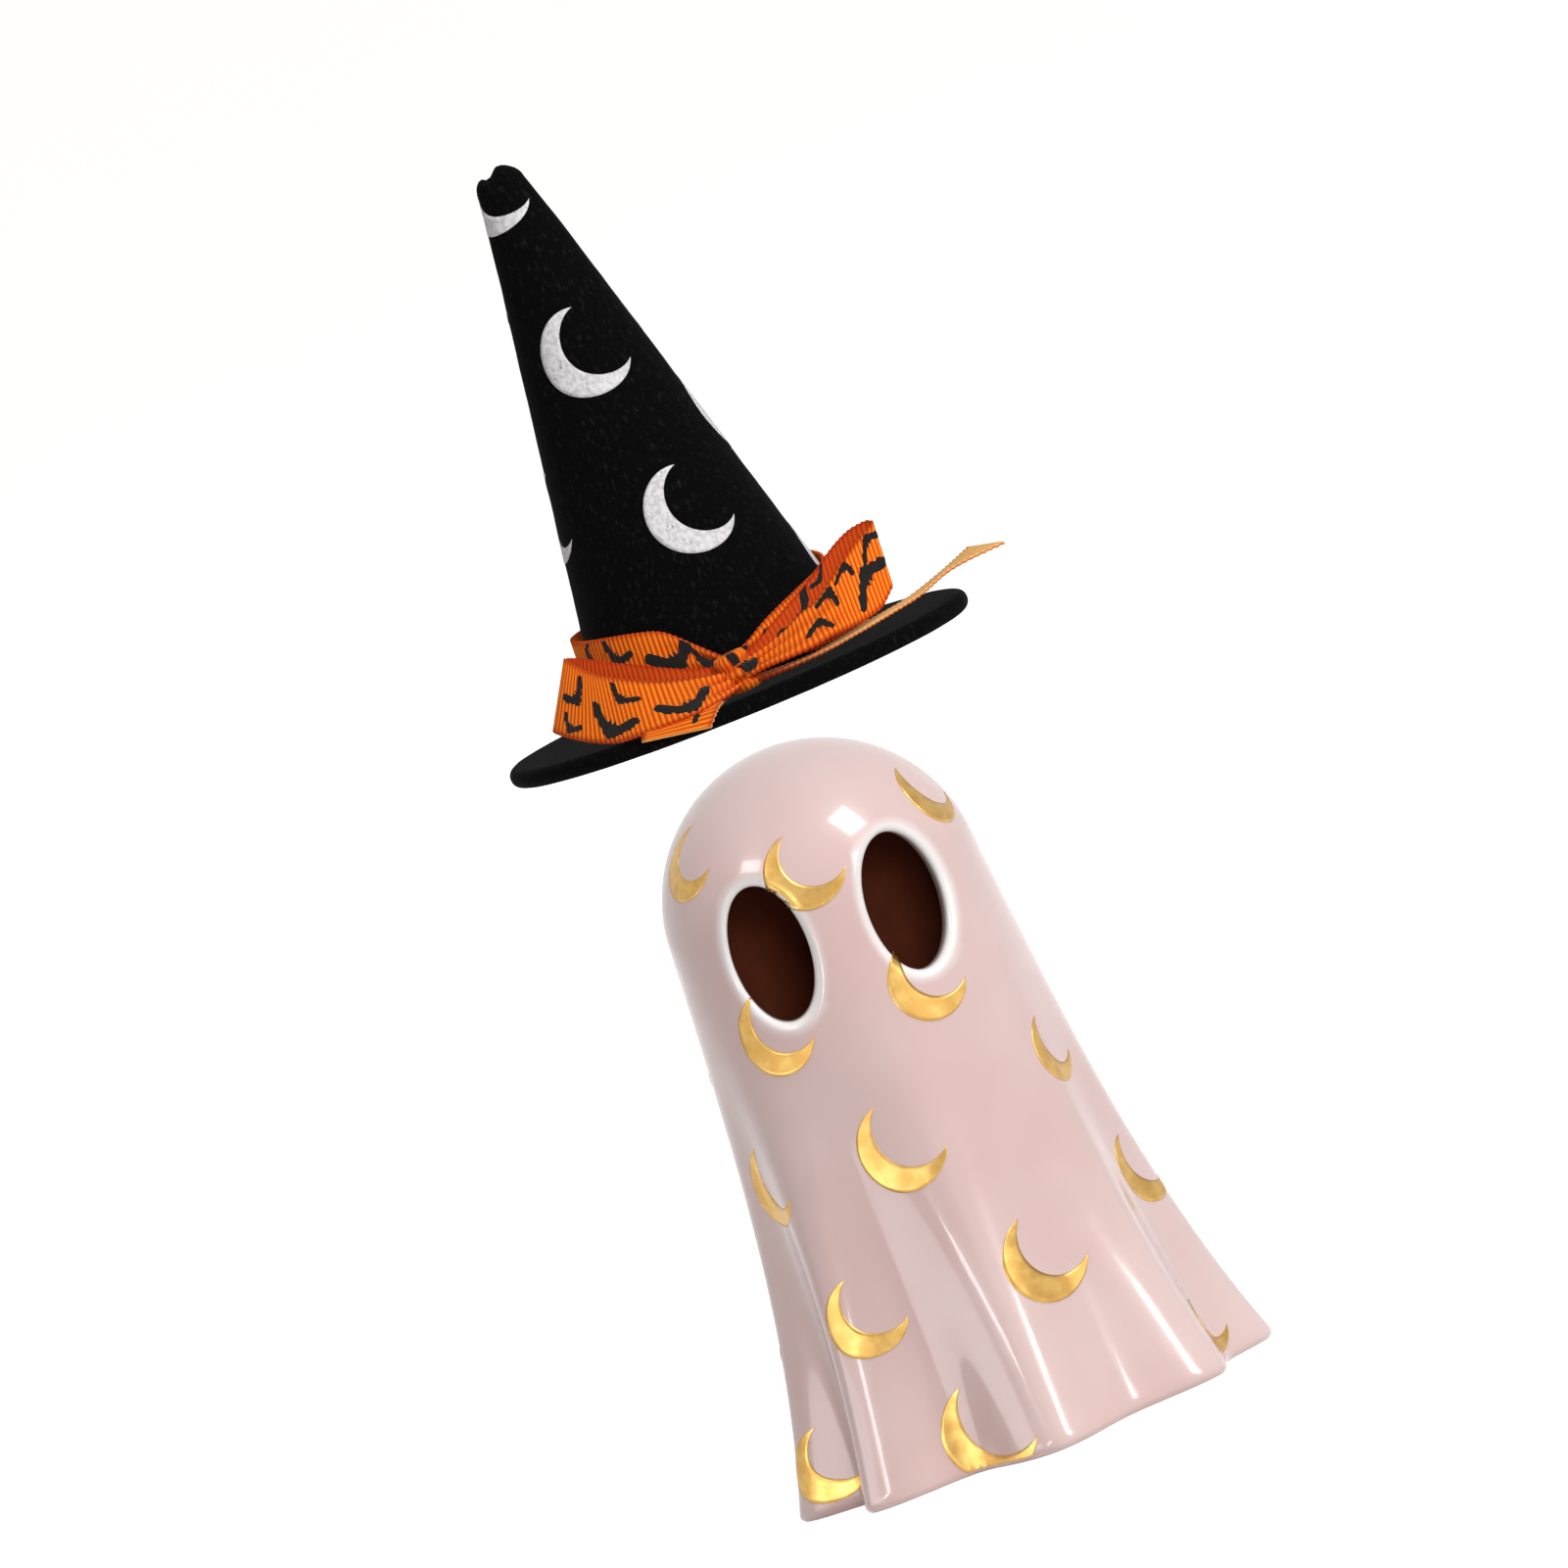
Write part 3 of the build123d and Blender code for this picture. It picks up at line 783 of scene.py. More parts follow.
def shell_line(ghost):
    """Line of the wall from the top of the head down to the hem and up again inside."""
    middle = head_middle(ghost)
    shoulder_z, _ = shoulder(ghost)
    rows = []
    for row in range(DOME_ROWS):
        lift = math.pi / 2 - (math.pi / 2 - ghost.side_draft) * row / DOME_ROWS
        rows.append((lift, None))
    for row in range(SKIRT_ROWS + 1):
        rows.append((None, shoulder_z + (ghost.hem_round - shoulder_z) * row / SKIRT_ROWS))

    def skin(inset):
        radius = ghost.head_radius - inset
        line = []
        for lift, z in rows:
            if z is None:
                line.append((max(0.0, radius * math.cos(lift)), 0.0, middle + radius * math.sin(lift)))
            else:
                line.append((shell_radius(ghost, 0.0, z, inset), 0.0, z))
        line[0] = (0.0, 0.0, middle + radius)
        return line

    outer, inner = skin(0.0), skin(ghost.wall)
    turn = ghost.hem_round
    hem = arc_points((outer[-1][0] - turn, turn), turn, 0.0, -90.0, HEM_STEPS)
    hem += arc_points((inner[-1][0] + turn, turn), turn, -90.0, -180.0, HEM_STEPS)[:-1]
    hem.insert(HEM_STEPS, (inner[-1][0] + turn, 0.0, 0.0))
    return outer, hem, inner


def fold_shell(ghost, bm):
    """Moves the spun skins into the folds of the skirt."""
    for vert in bm.verts:
        x, y, z = vert.co
        radius = math.hypot(x, y)
        if radius < 1e-9 or z > shoulder(ghost)[0]:
            continue
        turn = math.atan2(x, -y)
        fall = skirt_fall(ghost, max(z, 0.0)) ** FOLD_POWER
        change = (fold_depth(0.0) - fold_depth(turn)) * fall
        vert.co.x *= (radius + change) / radius
        vert.co.y *= (radius + change) / radius


def eye_block(eye, z_rows):
    """Block of columns and rows that the hole takes out of the skin's grid."""
    reach = eye.half + Vector((eye.ghost.eye_rim, eye.ghost.eye_rim))
    step = math.tau / SHELL_COLUMNS
    left = math.asin((eye.x - EYE_BLOCK * reach.x) / eye.ghost.head_radius)
    right = math.asin((eye.x + EYE_BLOCK * reach.x) / eye.ghost.head_radius)
    columns = (round(left / step), round(right / step))
    inside = [row for row, z in enumerate(z_rows) if abs(z - eye.z) < EYE_BLOCK * reach.y]
    return columns, (inside[0], inside[-1])


def grid_point(ghost, turn, row, levels, inner):
    """Sideways place and height of a point between the rows of the skin's grid."""
    low = min(int(row), len(levels) - 2)
    z = levels[low] + (levels[low + 1] - levels[low]) * (row - low)
    return shell_radius(ghost, turn, z, ghost.wall if inner else 0.0) * math.sin(turn), z


def round_grid(ghost, bm, eye, row, skin, levels):
    """Draws the grid of both skins round an eye hole and returns the vertices that lie in it."""
    columns, rows = eye_block(eye, levels[0])
    column_middle, column_half = sum(columns) / 2, (columns[1] - columns[0]) / 2
    row_middle, row_half = sum(rows) / 2, (rows[1] - rows[0]) / 2
    inner_shift = eye.inward.x / eye.inward.y * ghost.wall
    block = set()
    for vert in bm.verts:
        if vert.co.y > 0.0 or vert[row] < 0.0:
            continue
        column = math.atan2(vert.co.x, -vert.co.y) / math.tau * SHELL_COLUMNS
        across = (column - column_middle) / column_half
        up = -(vert[row] - row_middle) / row_half
        reach = max(abs(across), abs(up))
        if reach > EYE_BLEND:
            continue
        inner = vert[skin] > 0.5
        spread, shift = (0.0, inner_shift) if inner else (ghost.eye_rim, 0.0)
        if reach < 1.0 - 1e-3:
            block.add(vert)
            continue
        x, z = eye.ring(math.atan2(up, across), spread, shift)
        edge_column = column_middle + (column - column_middle) / reach
        edge_turn = math.tau * edge_column / SHELL_COLUMNS
        edge_row = row_middle + (vert[row] - row_middle) / reach
        edge = grid_point(ghost, edge_turn, edge_row, levels[inner], inner)
        pull = 1.0 - smooth_step((reach - 1.0) / (EYE_BLEND - 1.0))
        x, z = vert.co.x + (x - edge[0]) * pull, vert.co.z + (z - edge[1]) * pull
        vert.co = skin_point(ghost, x, z, ghost.wall if inner else 0.0)
    return block


def open_eye(ghost, bm, eye, row, skin, levels):
    """Opens one eye hole: takes its block out of both skins and leads a rounded rim inside."""
    block = round_grid(ghost, bm, eye, row, skin, levels)
    inside = [face for face in bm.faces if any(vert in block for vert in face.verts)]
    bmesh.ops.delete(bm, geom=inside, context="FACES")
    edges = [edge for edge in bm.edges if edge.is_boundary and edge.verts[0].co.x * eye.x > 0.0]
    outer = [edge for edge in edges if edge.verts[0][skin] < 0.5]
    inner = [edge for edge in edges if edge.verts[0][skin] > 0.5]
    last = ghost.eye_rim
    for step in range(1, RIM_STEPS + 1):
        spread = ghost.eye_rim * (1.0 - math.sin(math.pi / 2 * step / RIM_STEPS))
        grown = bmesh.ops.extrude_edge_only(bm, edges=outer)["geom"]
        outer = [part for part in grown if isinstance(part, bmesh.types.BMEdge) and part.is_boundary]
        for vert in {vert for edge in outer for vert in edge.verts}:
            place = eye.local(vert.co - eye.inward * eye.dip(last))
            turn = math.atan2(place.y / eye.half.y, place.x / eye.half.x)
            x, z = eye.ring(turn, spread)
            vert.co = skin_point(ghost, x, z) + eye.inward * eye.dip(spread)
        last = spread
    bmesh.ops.bridge_loops(bm, edges=outer + inner)


def build_shell(ghost):
    bm = bmesh.new()
    row = bm.verts.layers.float.new("row")
    skin = bm.verts.layers.float.new("skin")
    rim = bm.verts.layers.float.new("rim")
    thin = bm.verts.layers.float.new("thin")
    outer, hem, inner = shell_line(ghost)
    line = draw_line(bm, outer + hem + inner[::-1])
    for index, vert in enumerate(line):
        from_end = len(line) - 1 - index
        vert[row] = index if index < len(outer) else from_end if from_end < len(inner) else -1.0
        vert[skin] = 1.0 if from_end < len(inner) else 0.0
    spin_line(bm, SHELL_COLUMNS)
    levels = [[point[2] for point in outer], [point[2] for point in inner]]
    fold_shell(ghost, bm)
    eyes = [Eye(ghost, x, turn) for x, turn in EYES]
    for eye in eyes:
        open_eye(ghost, bm, eye, row, skin, levels)
    bmesh.ops.recalc_face_normals(bm, faces=bm.faces[:])
    deepest = max(valley for _, _, valley in FOLDS) * MM
    for vert in bm.verts:
        turn = math.atan2(vert.co.x, -vert.co.y)
        depth = fold_depth(turn) / deepest
        vert[thin] = max(0.0, 1.0 - RIDGE_PALE * depth) * skirt_fall(ghost, vert.co.z)
        if vert.co.y < 0.0:
            spread = min(eye.spread(vert.co) for eye in eyes)
            vert[rim] = 1.0 - smooth_step((spread - RIM_WHITE * ghost.eye_rim) / (RIM_FADE * ghost.eye_rim))
    for face in bm.faces:
        middle = face.calc_center_median()
        if all(vert[skin] > 0.5 for vert in face.verts):
            face.material_index = 1
        elif middle.z < FOOT_BARE * ghost.hem_round:
            face.material_index = 2
    return bm


class OBJECT_OT_ghost_shell(Operator):
    """Builds the glazed ghost with its folds and eye holes"""

    bl_idname = "object.ghost_shell"
    bl_label = "Ghost Shell"

    def execute(self, context):
        ghost = context.scene.ghost_settings
        materials = [pink_glaze(ghost), dark_brown_inside(ghost), bare_clay(ghost)]
        make_piece("glazed_shell", build_shell(ghost), materials, "ghost", "glaze", "ghost_shell")
        return {"FINISHED"}


# Crescents

def crescent_point(outline, along, across):
    """Point of a crescent of radius 1: along from horn to horn, across from the outer to the inner edge."""
    thick, horn, depth = outline
    horn_x, horn_y = math.cos(math.radians(horn)), math.sin(math.radians(horn))
    edge = 1.0 - depth
    middle = (horn_x ** 2 + horn_y ** 2 - edge ** 2) / (2.0 * (horn_x - edge))
    radius = edge - middle
    inner_horn = math.atan2(horn_y, horn_x - middle)
    outer_turn = math.radians(horn) * (2.0 * along - 1.0)
    inner_turn = inner_horn * (2.0 * along - 1.0)
    outer = Vector((math.cos(outer_turn), math.sin(outer_turn)))
    inner = Vector((middle + radius * math.cos(inner_turn), radius * math.sin(inner_turn)))
    return Matrix.Rotation(math.radians(thick), 2) @ outer.lerp(inner, across)


def lay_print(bm, steps, thickness, shape, cuts, place, keep=None, mirrored=False):
    """Adds one thin closed body: a grid shaped flat, cut, thickened and laid on a surface.

    Each cut is a place on the flat grid and the direction beyond it that goes.
    """
    grid = bmesh.ops.create_grid(bm, x_segments=steps[0], y_segments=steps[1], size=0.5)["verts"]
    for vert in grid:
        vert.co = shape(vert.co.x + 0.5, vert.co.y + 0.5).to_3d()
    bmesh.ops.remove_doubles(bm, verts=grid, dist=1e-7)
    faces = list({face for vert in grid if vert.is_valid for face in vert.link_faces})
    for point, away in cuts:
        parts = list({part for face in faces for part in (face, *face.edges, *face.verts)})
        left = bmesh.ops.bisect_plane(bm, geom=parts, plane_co=point, plane_no=away, clear_outer=True)["geom"]
        faces = [part for part in left if part.is_valid and isinstance(part, bmesh.types.BMFace)]
    if keep:
        lost = [face for face in faces if not keep(*face.calc_center_median().to_2d())]
        bmesh.ops.delete(bm, geom=lost, context="FACES")
    verts = thicken(bm, [face for face in faces if face.is_valid], thickness)
    for vert in verts:
        vert.co = place(*vert.co)
    if mirrored:
        bmesh.ops.reverse_faces(bm, faces=list({face for vert in verts for face in vert.link_faces}))


def thicken(bm, faces, thickness):
    """Raises a second skin above flat faces, closes the edges between and returns all vertices."""
    low = {vert for face in faces for vert in face.verts}
    grown = bmesh.ops.extrude_face_region(bm, geom=faces, use_keep_orig=True)["geom"]
    high = [part for part in grown if isinstance(part, bmesh.types.BMVert)]
    bmesh.ops.translate(bm, verts=high, vec=(0.0, 0.0, thickness))
    return list(low) + high


def glaze_point(ghost, eyes, turn, height, lift):
    """Point above the outer skin at an angle and at a height measured along the skin."""
    def on_skin(turn, height):
        shoulder_z, _ = shoulder(ghost)
        z = height
        if height > shoulder_z:
            climb = ghost.side_draft + (height - shoulder_z) / ghost.head_radius
            z = head_middle(ghost) + ghost.head_radius * math.sin(climb)
        radius = shell_radius(ghost, turn, z)
        point = Vector((radius * math.sin(turn), -radius * math.cos(turn), z))
        if point.y < 0.0:
            for eye in eyes:
                spread = eye.spread(point)
                if spread < ghost.eye_rim:
                    return point + eye.inward * eye.dip(spread)
        return point

    step = 0.1 * MM
    swing = step / ghost.head_radius
    across = on_skin(turn + swing, height) - on_skin(turn - swing, height)
    up = on_skin(turn, height + step) - on_skin(turn, height - step)
    return on_skin(turn, height) + across.cross(up).normalized() * lift


def build_gold(ghost):
    bm = bmesh.new()
    eyes = [Eye(ghost, x, turn) for x, turn in EYES]
    shoulder_z, _ = shoulder(ghost)
    for degrees, millimetres, size in GOLD_CRESCENTS:
        centre, z = math.radians(degrees), millimetres * MM
        radius = shell_radius(ghost, centre, z)
        height = z
        if z > shoulder_z:
            climb = math.asin((z - head_middle(ghost)) / ghost.head_radius)
            height = shoulder_z + (climb - ghost.side_draft) * ghost.head_radius

        def shape(along, across):
            return crescent_point(GOLD_OUTLINE, along, across) * ghost.crescent * size

        def place(sideways, up, lift):
            return glaze_point(ghost, eyes, centre + sideways / radius, height + up, lift - PRINT_SINK * MM)

        def keep(sideways, up):
            point = place(sideways, up, 0.0)
            return point.y > 0.0 or min(eye.spread(point) for eye in eyes) > EYE_GAP * MM

        hem = ((0.0, HEM_TRIM * ghost.hem_round - height, 0.0), (0.0, -1.0, 0.0))
        lay_print(bm, CRESCENT_STEPS, GOLD_THICKNESS * MM, shape, [hem], place, keep)
    return bm


class OBJECT_OT_gold_crescents(Operator):
    """Lays the gold lustre crescents on the glaze"""

    bl_idname = "object.gold_crescents"
    bl_label = "Gold Crescents"

    def execute(self, context):
        ghost = context.scene.ghost_settings
        make_piece("gold_crescents", build_gold(ghost), [gold_lustre(ghost)], "ghost", "glaze")
        return {"FINISHED"}


# Felt hat

def crown_width(hat, height):
    slope = (hat.crown_radius - hat.crown_top) / hat.crown_height
    return hat.crown_radius - slope * height


def crown_middle(hat, height):
    """Sideways place of the crown's middle: a steady lean, and a little more at the tip."""
    tip = max(0.0, height / hat.crown_height - TIP_BEND_START) / (1.0 - TIP_BEND_START)
    return -math.tan(hat.lean) * height - TIP_BEND * MM * tip ** 2


def felt_lump(point, depth, size):
    """Uneven rise of the felt at a point."""
    return depth * (noise.noise(point / size) + 0.5 * noise.noise(point / (0.35 * size)))


def cone_line(hat):
    """Line of the crown from its tip down the outside and up the inside, above the brim."""
    top, turn = hat.crown_height, hat.tip_round
    tip_radius = crown_width(hat, top - turn)
    line = [(0.0, 0.0, top)]
    for step in range(1, TIP_ROWS + 1):
        share = math.pi / 2 * step / TIP_ROWS
        line.append((tip_radius * math.sin(share), 0.0, top - turn + turn * math.cos(share)))
    for row in range(1, CONE_ROWS + 1):
        height = (top - turn) * (1.0 - row / CONE_ROWS)
        line.append((crown_width(hat, height), 0.0, height))
    hollow = top - hat.tip_felt
    for row in range(CONE_ROWS + 1):
        height = hollow * row / CONE_ROWS
        line.append((crown_width(hat, height) - hat.felt, 0.0, height))
    line.append((0.0, 0.0, hollow))
    return line


def build_cone(hat):
    bm = bmesh.new()
    draw_line(bm, cone_line(hat))
    spin_line(bm, CONE_COLUMNS)
    bm.normal_update()
    normals = {vert: vert.normal.copy() for vert in bm.verts}
    notch_x, notch_width = NOTCH_X * MM, NOTCH_WIDTH * MM
    for vert, normal in normals.items():
        point = vert.co.copy()
        turn = math.atan2(point.x, -point.y)
        height = point.z
        outside = math.hypot(point.x, point.y) > crown_width(hat, height) - hat.felt / 2
        if outside and height > FELT_EVEN * MM:
            vert.co += normal * felt_lump(point, hat.lump, CROWN_LUMPS * MM)
            lap = abs(math.degrees(turn)) - 180.0 + LAP_WIDTH
            seam = smooth_step((lap + 1.0) / 2.0) if turn > 0.0 else 0.0
            fade = smooth_step((hat.crown_height - height) / (LAP_FADE * MM))
            vert.co += normal * LAP_STEP * MM * seam * fade
        tip = smooth_step((height - hat.crown_height + NOTCH_REACH * MM) / (NOTCH_FADE * MM))
        groove = math.exp(-((point.x - notch_x) / notch_width) ** 2)
        lower = NOTCH_DROP * MM if point.x < notch_x else 0.0
        vert.co.z -= tip * (hat.notch * groove + lower)
        vert.co.x += crown_middle(hat, height)
        vert.co.z += BRIM_HIGH.z
    return bm


def build_brim(hat):
    half, turn = hat.brim_thickness / 2, hat.brim_round
    inner, outer = hat.bore / 2, hat.brim_radius
    line = []
    corners = [(outer, -1, -90.0), (outer, 1, 0.0), (inner, 1, 90.0), (inner, -1, 180.0)]
    for radius, side, start in corners:
        small = turn if radius == outer else BORE_ROUND * turn
        centre = (radius - small if radius == outer else radius + small, side * (half - small))
        line += arc_points(centre, small, start, start + 90.0, HEM_STEPS, first=0)
    filled = []
    for first, second in zip(line, line[1:] + line[:1]):
        filled.append(first)
        gap = Vector(second) - Vector(first)
        steps = BRIM_RINGS if gap.length > 4 * half else 1
        filled += [tuple(Vector(first) + gap * step / steps) for step in range(1, steps)]
    bm = bmesh.new()
    draw_line(bm, filled, closed=True)
    spin_line(bm, BRIM_COLUMNS)
    bm.normal_update()
    for vert, normal in [(vert, vert.normal.copy()) for vert in bm.verts]:
        if math.hypot(vert.co.x, vert.co.y) > hat.crown_radius + FELT_EVEN * MM:
            rise = felt_lump(vert.co, hat.lump, BRIM_LUMPS * MM) - hat.lump
            vert.co += normal * BRIM_LUMP_SHARE * rise
        vert.co.z += BRIM_HIGH.z - half
    return bm


class OBJECT_OT_felt_hat(Operator):
    """Builds the felt crown and brim of the hat"""

    bl_idname = "object.felt_hat"
    bl_label = "Felt Hat"

    def execute(self, context):
        hat = context.scene.hat_settings
        felt = black_felt(hat)
        make_piece("felt_crown", build_cone(hat), [felt], "hat", "felt", "hat_cone")
        make_piece("felt_brim", build_brim(hat), [felt], "hat", "felt", "hat_brim")
        return {"FINISHED"}


def build_silver(hat):
    bm = bmesh.new()
    for degrees, millimetres in SILVER_CRESCENTS:
        centre, middle = math.radians(degrees), millimetres * MM
        radius = crown_width(hat, middle)

        def shape(along, across):
            return crescent_point(SILVER_OUTLINE, along, across) * hat.crescent

        def place(sideways, up, lift):
            height = middle + up
            turn = centre + sideways / radius
            width = crown_width(hat, height)
            flat = Vector((width * math.sin(turn), -width * math.cos(turn), height))
            outward = Vector((math.sin(turn), -math.cos(turn), CROWN_SLANT)).normalized()
            point = flat + outward * (felt_lump(flat, hat.lump, CROWN_LUMPS * MM) + lift)
            return point + Vector((crown_middle(hat, height), 0.0, BRIM_HIGH.z))

        foot = ((0.0, CROWN_FOOT_GAP * MM - middle, 0.0), (0.0, -1.0, 0.0))
        tip = ((0.0, hat.crown_height - hat.tip_round - middle, 0.0), (0.0, 1.0, 0.0))
        lay_print(bm, CRESCENT_STEPS, SILVER_THICKNESS * MM, shape, [foot, tip], place)
    return bm


class OBJECT_OT_silver_crescents(Operator):
    """Prints the silver crescents on the felt crown"""

    bl_idname = "object.silver_crescents"
    bl_label = "Silver Crescents"

    def execute(self, context):
        hat = context.scene.hat_settings
        make_piece("silver_crescents", build_silver(hat), [silver_print(hat)], "hat", "felt")
        return {"FINISHED"}


# Ribbon

def through(points, share):
    """Point of a smooth curve through the points, at a share of the way from the first to the last."""
    spans = len(points) - 1
    place = min(max(share, 0.0), 1.0) * spans
    index = min(int(place), spans - 1)
    t = place - index
    before = points[max(index - 1, 0)]
    start, end = points[index], points[index + 1]
    after = points[min(index + 2, spans)]
    pull = (end - before) * 0.5
    push = (after - start) * 0.5
    return (
        start * (2 * t ** 3 - 3 * t ** 2 + 1)
        + pull * (t ** 3 - 2 * t ** 2 + t)
        + end * (3 * t ** 2 - 2 * t ** 3)
        + push * (t ** 3 - t ** 2)
    )


def hat_place(sideways, forwards, height):
    """Point in metres from millimetres sideways, forwards and above the brim."""
    return Vector((sideways * MM, -forwards * MM, BRIM_HIGH.z + height * MM))


def between_edges(stations):
    """Ribbon surface between an upper and a lower edge line."""
    upper = [hat_place(*pair[0]) for pair in stations]
    lower = [hat_place(*pair[1]) for pair in stations]

    def surface(share, across):
        return through(lower, share).lerp(through(upper, share), across)

    return surface


def round_crown(hat):
    """Ribbon surface round the foot of the crown."""
    stations = [Vector(row) for row in BAND]

    def surface(share, across):
        degrees, upper, lower, upper_gap, lower_gap = through(stations, share)
        height = (lower + (upper - lower) * across) * MM
        gap = (lower_gap + (upper_gap - lower_gap) * across) * MM
        turn = math.radians(degrees)
        radius = crown_width(hat, height) + gap
        return Vector((
            crown_middle(hat, height) + radius * math.sin(turn),
            -radius * math.cos(turn),
            BRIM_HIGH.z + height,
        ))

    return surface


def round_knot(share, across):
    """Ribbon surface wrapped and gathered round the knot, closed in at its top and bottom."""
    turn = math.tau * share
    lift = 2.0 * across - 1.0
    crease = KNOT_CREASE * math.sin(KNOT_CREASES * lift + 2.0 * math.sin(turn)) * (1.0 - lift ** 2)
    wide = (1.0 - abs(lift) ** 3.0) ** 0.5 * (1.0 - KNOT_NECK) + KNOT_NECK + crease
    tilt = KNOT_TILT * math.sin(turn)
    return hat_place(
        KNOT_MIDDLE[0] + KNOT_HALF[0] * wide * math.sin(turn) - KNOT_LEAN * lift,
        KNOT_MIDDLE[1] - KNOT_HALF[1] * wide * math.cos(turn),
        KNOT_MIDDLE[2] + KNOT_HALF[2] * lift + tilt * (1.0 - lift ** 2),
    )


class RibbonRun:
    """One length of ribbon on a surface, with places measured along its middle line."""

    SAMPLES = 400
    # Shares along and across over which the slope of the surface is taken
    ALONG_STEP = 0.002
    ACROSS_STEP = 0.05

    def __init__(self, ribbon, surface, face, pleat, held):
        self.ribbon, self.surface, self.face, self.pleat, self.held = ribbon, surface, face, pleat, held
        self.marks = [0.0]
        last = surface(0.0, 0.5)
        for sample in range(1, self.SAMPLES + 1):
            point = surface(sample / self.SAMPLES, 0.5)
            self.marks.append(self.marks[-1] + (point - last).length)
            last = point
        self.length = self.marks[-1]

    def share(self, along):
        along = min(max(along, 0.0), self.length)
        index = min(bisect_right(self.marks, along), self.SAMPLES) - 1
        gap = self.marks[index + 1] - self.marks[index]
        return (index + (along - self.marks[index]) / gap) / self.SAMPLES

    def place(self, along, across, lift):
        """Point at a distance along and a share across, raised above the weave towards the printed face."""
        ribbon, share = self.ribbon, self.share(along)
        first, second = max(share - self.ALONG_STEP, 0.0), min(share + self.ALONG_STEP, 1.0)
        low, high = max(across - self.ACROSS_STEP, 0.0), min(across + self.ACROSS_STEP, 1.0)
        forward = self.surface(second, across) - self.surface(first, across)
        sideways = self.surface(share, high) - self.surface(share, low)
        normal = forward.cross(sideways).normalized() * self.face
        pleat = self.pleat * self.gather(along) * math.sin(math.tau * PLEATS * across)
        wave = math.cos(math.tau * along / ribbon.rib_pitch)
        point = self.surface(share, across)
        if across in (0.0, 1.0):
            out = (EDGE_LOOPS + EDGE_LOOPS * wave) * MM
            point += sideways.normalized() * (2.0 * across - 1.0) * out
        return point + normal * (lift + pleat + math.copysign(ribbon.rib_depth * wave, lift * wave))

    def width_at(self, along):
        """Distance between the two edges at a distance along."""
        share = self.share(along)
        return (self.surface(share, 1.0) - self.surface(share, 0.0)).length

    def gather(self, along):
        """How far the ribbon is drawn together, from 0 where it lies nearly flat."""
        return max(0.0, 1.0 - self.width_at(along) / (FLAT_WIDTH * self.ribbon.width))

    def weave(self):
        """Ribbed strip of ribbon with its thickness and a UV map in millimetres."""
        bm = bmesh.new()
        uv = bm.loops.layers.uv.new("ribbon")
        # Attribute that carries the painted sheen on a loose end's underside
        painted_sheen = bm.verts.layers.float.new("painted_sheen")
        # Attribute that carries the painted shade and painted shadow
        crease = bm.verts.layers.float.new("crease")
        steps = round(self.length / self.ribbon.rib_pitch * STEPS_PER_RIB)
        bmesh.ops.create_grid(bm, x_segments=steps, y_segments=RIBBON_ROWS, size=0.5)
        thickness = self.ribbon.thickness
        verts = thicken(bm, bm.faces[:], thickness)
        for face in bm.faces:
            for loop in face.loops:
                along, across = loop.vert.co.x + 0.5, loop.vert.co.y + 0.5
                loop[uv].uv = (along * self.length / MM, across * self.ribbon.width / MM)
        for vert in verts:
            along, across = vert.co.x + 0.5, round(vert.co.y + 0.5, 6)
            below = vert.co.z < thickness / 2
            # Painted sheen on the underside of a loose end
            vert[painted_sheen] = 1.0 if self.held == "laid" and below else 0.0
            # Painted shade: darker in the valleys of the pleats where the ribbon is gathered and over the
            # whole inner face of a loop; painted shadow of the loop at the start of a loose end
            fold = math.sin(math.tau * PLEATS * across) * (-1.0 if below else 1.0)
            painted_shade = min(1.0, GATHER_SHADE * self.gather(along * self.length)) * (0.5 - 0.5 * fold)
            if self.held == "folded" and below:
                painted_shade = max(painted_shade, LOOP_SHADE)
            if self.held == "laid":
                painted_shade = max(painted_shade, END_SHADE - END_SHADE_FADE * along)
            vert[crease] = painted_shade
            vert.co = self.place(along * self.length, across, vert.co.z - thickness / 2)
        if self.face < 0:
            bmesh.ops.reverse_faces(bm, faces=bm.faces[:])
        return bm

    def bats(self, prints):
        """Thin printed bats laid on the ribs of the ribbon."""
        bm = bmesh.new()
        half = self.ribbon.thickness / 2
        for along, across, span, turn, side in prints:
            spin = Matrix.Rotation(math.radians(turn), 2)
            width = self.width_at(along * MM)

            def shape(share, up):
                wing = 2.0 * share - 1.0
                lower, upper = outline_at(BAT_LOWER, abs(wing)), outline_at(BAT_UPPER, abs(wing))
                return spin @ Vector((wing, lower + (upper - lower) * up - BAT_DROP)) * span / 2 * MM

            cuts = [
                ((0.0, (BAT_MARGIN - across) * width, 0.0), (0.0, -1.0, 0.0)),
                ((0.0, (1.0 - BAT_MARGIN - across) * width, 0.0), (0.0, 1.0, 0.0)),
                (((BAT_END - along) * MM, 0.0, 0.0), (-1.0, 0.0, 0.0)),
                ((self.length - (along + BAT_END) * MM, 0.0, 0.0), (1.0, 0.0, 0.0)),
            ]

            def place(x, y, lift):
                over = min(max(across + y / width, BAT_MARGIN / 2), 1.0 - BAT_MARGIN / 2)
                return self.place(along * MM + x, over, side * (half - PRINT_SINK * MM + lift))

            lay_print(bm, BAT_STEPS, INK_THICKNESS * MM, shape, cuts, place, mirrored=side * self.face < 0)
        return bm


def outline_at(points, share):
    """Height of an outline of straight runs at a share of its way."""
    for (start, low), (end, high) in zip(points, points[1:]):
        if share <= end:
            return low + (high - low) * (share - start) / (end - start)
    return points[-1][1]


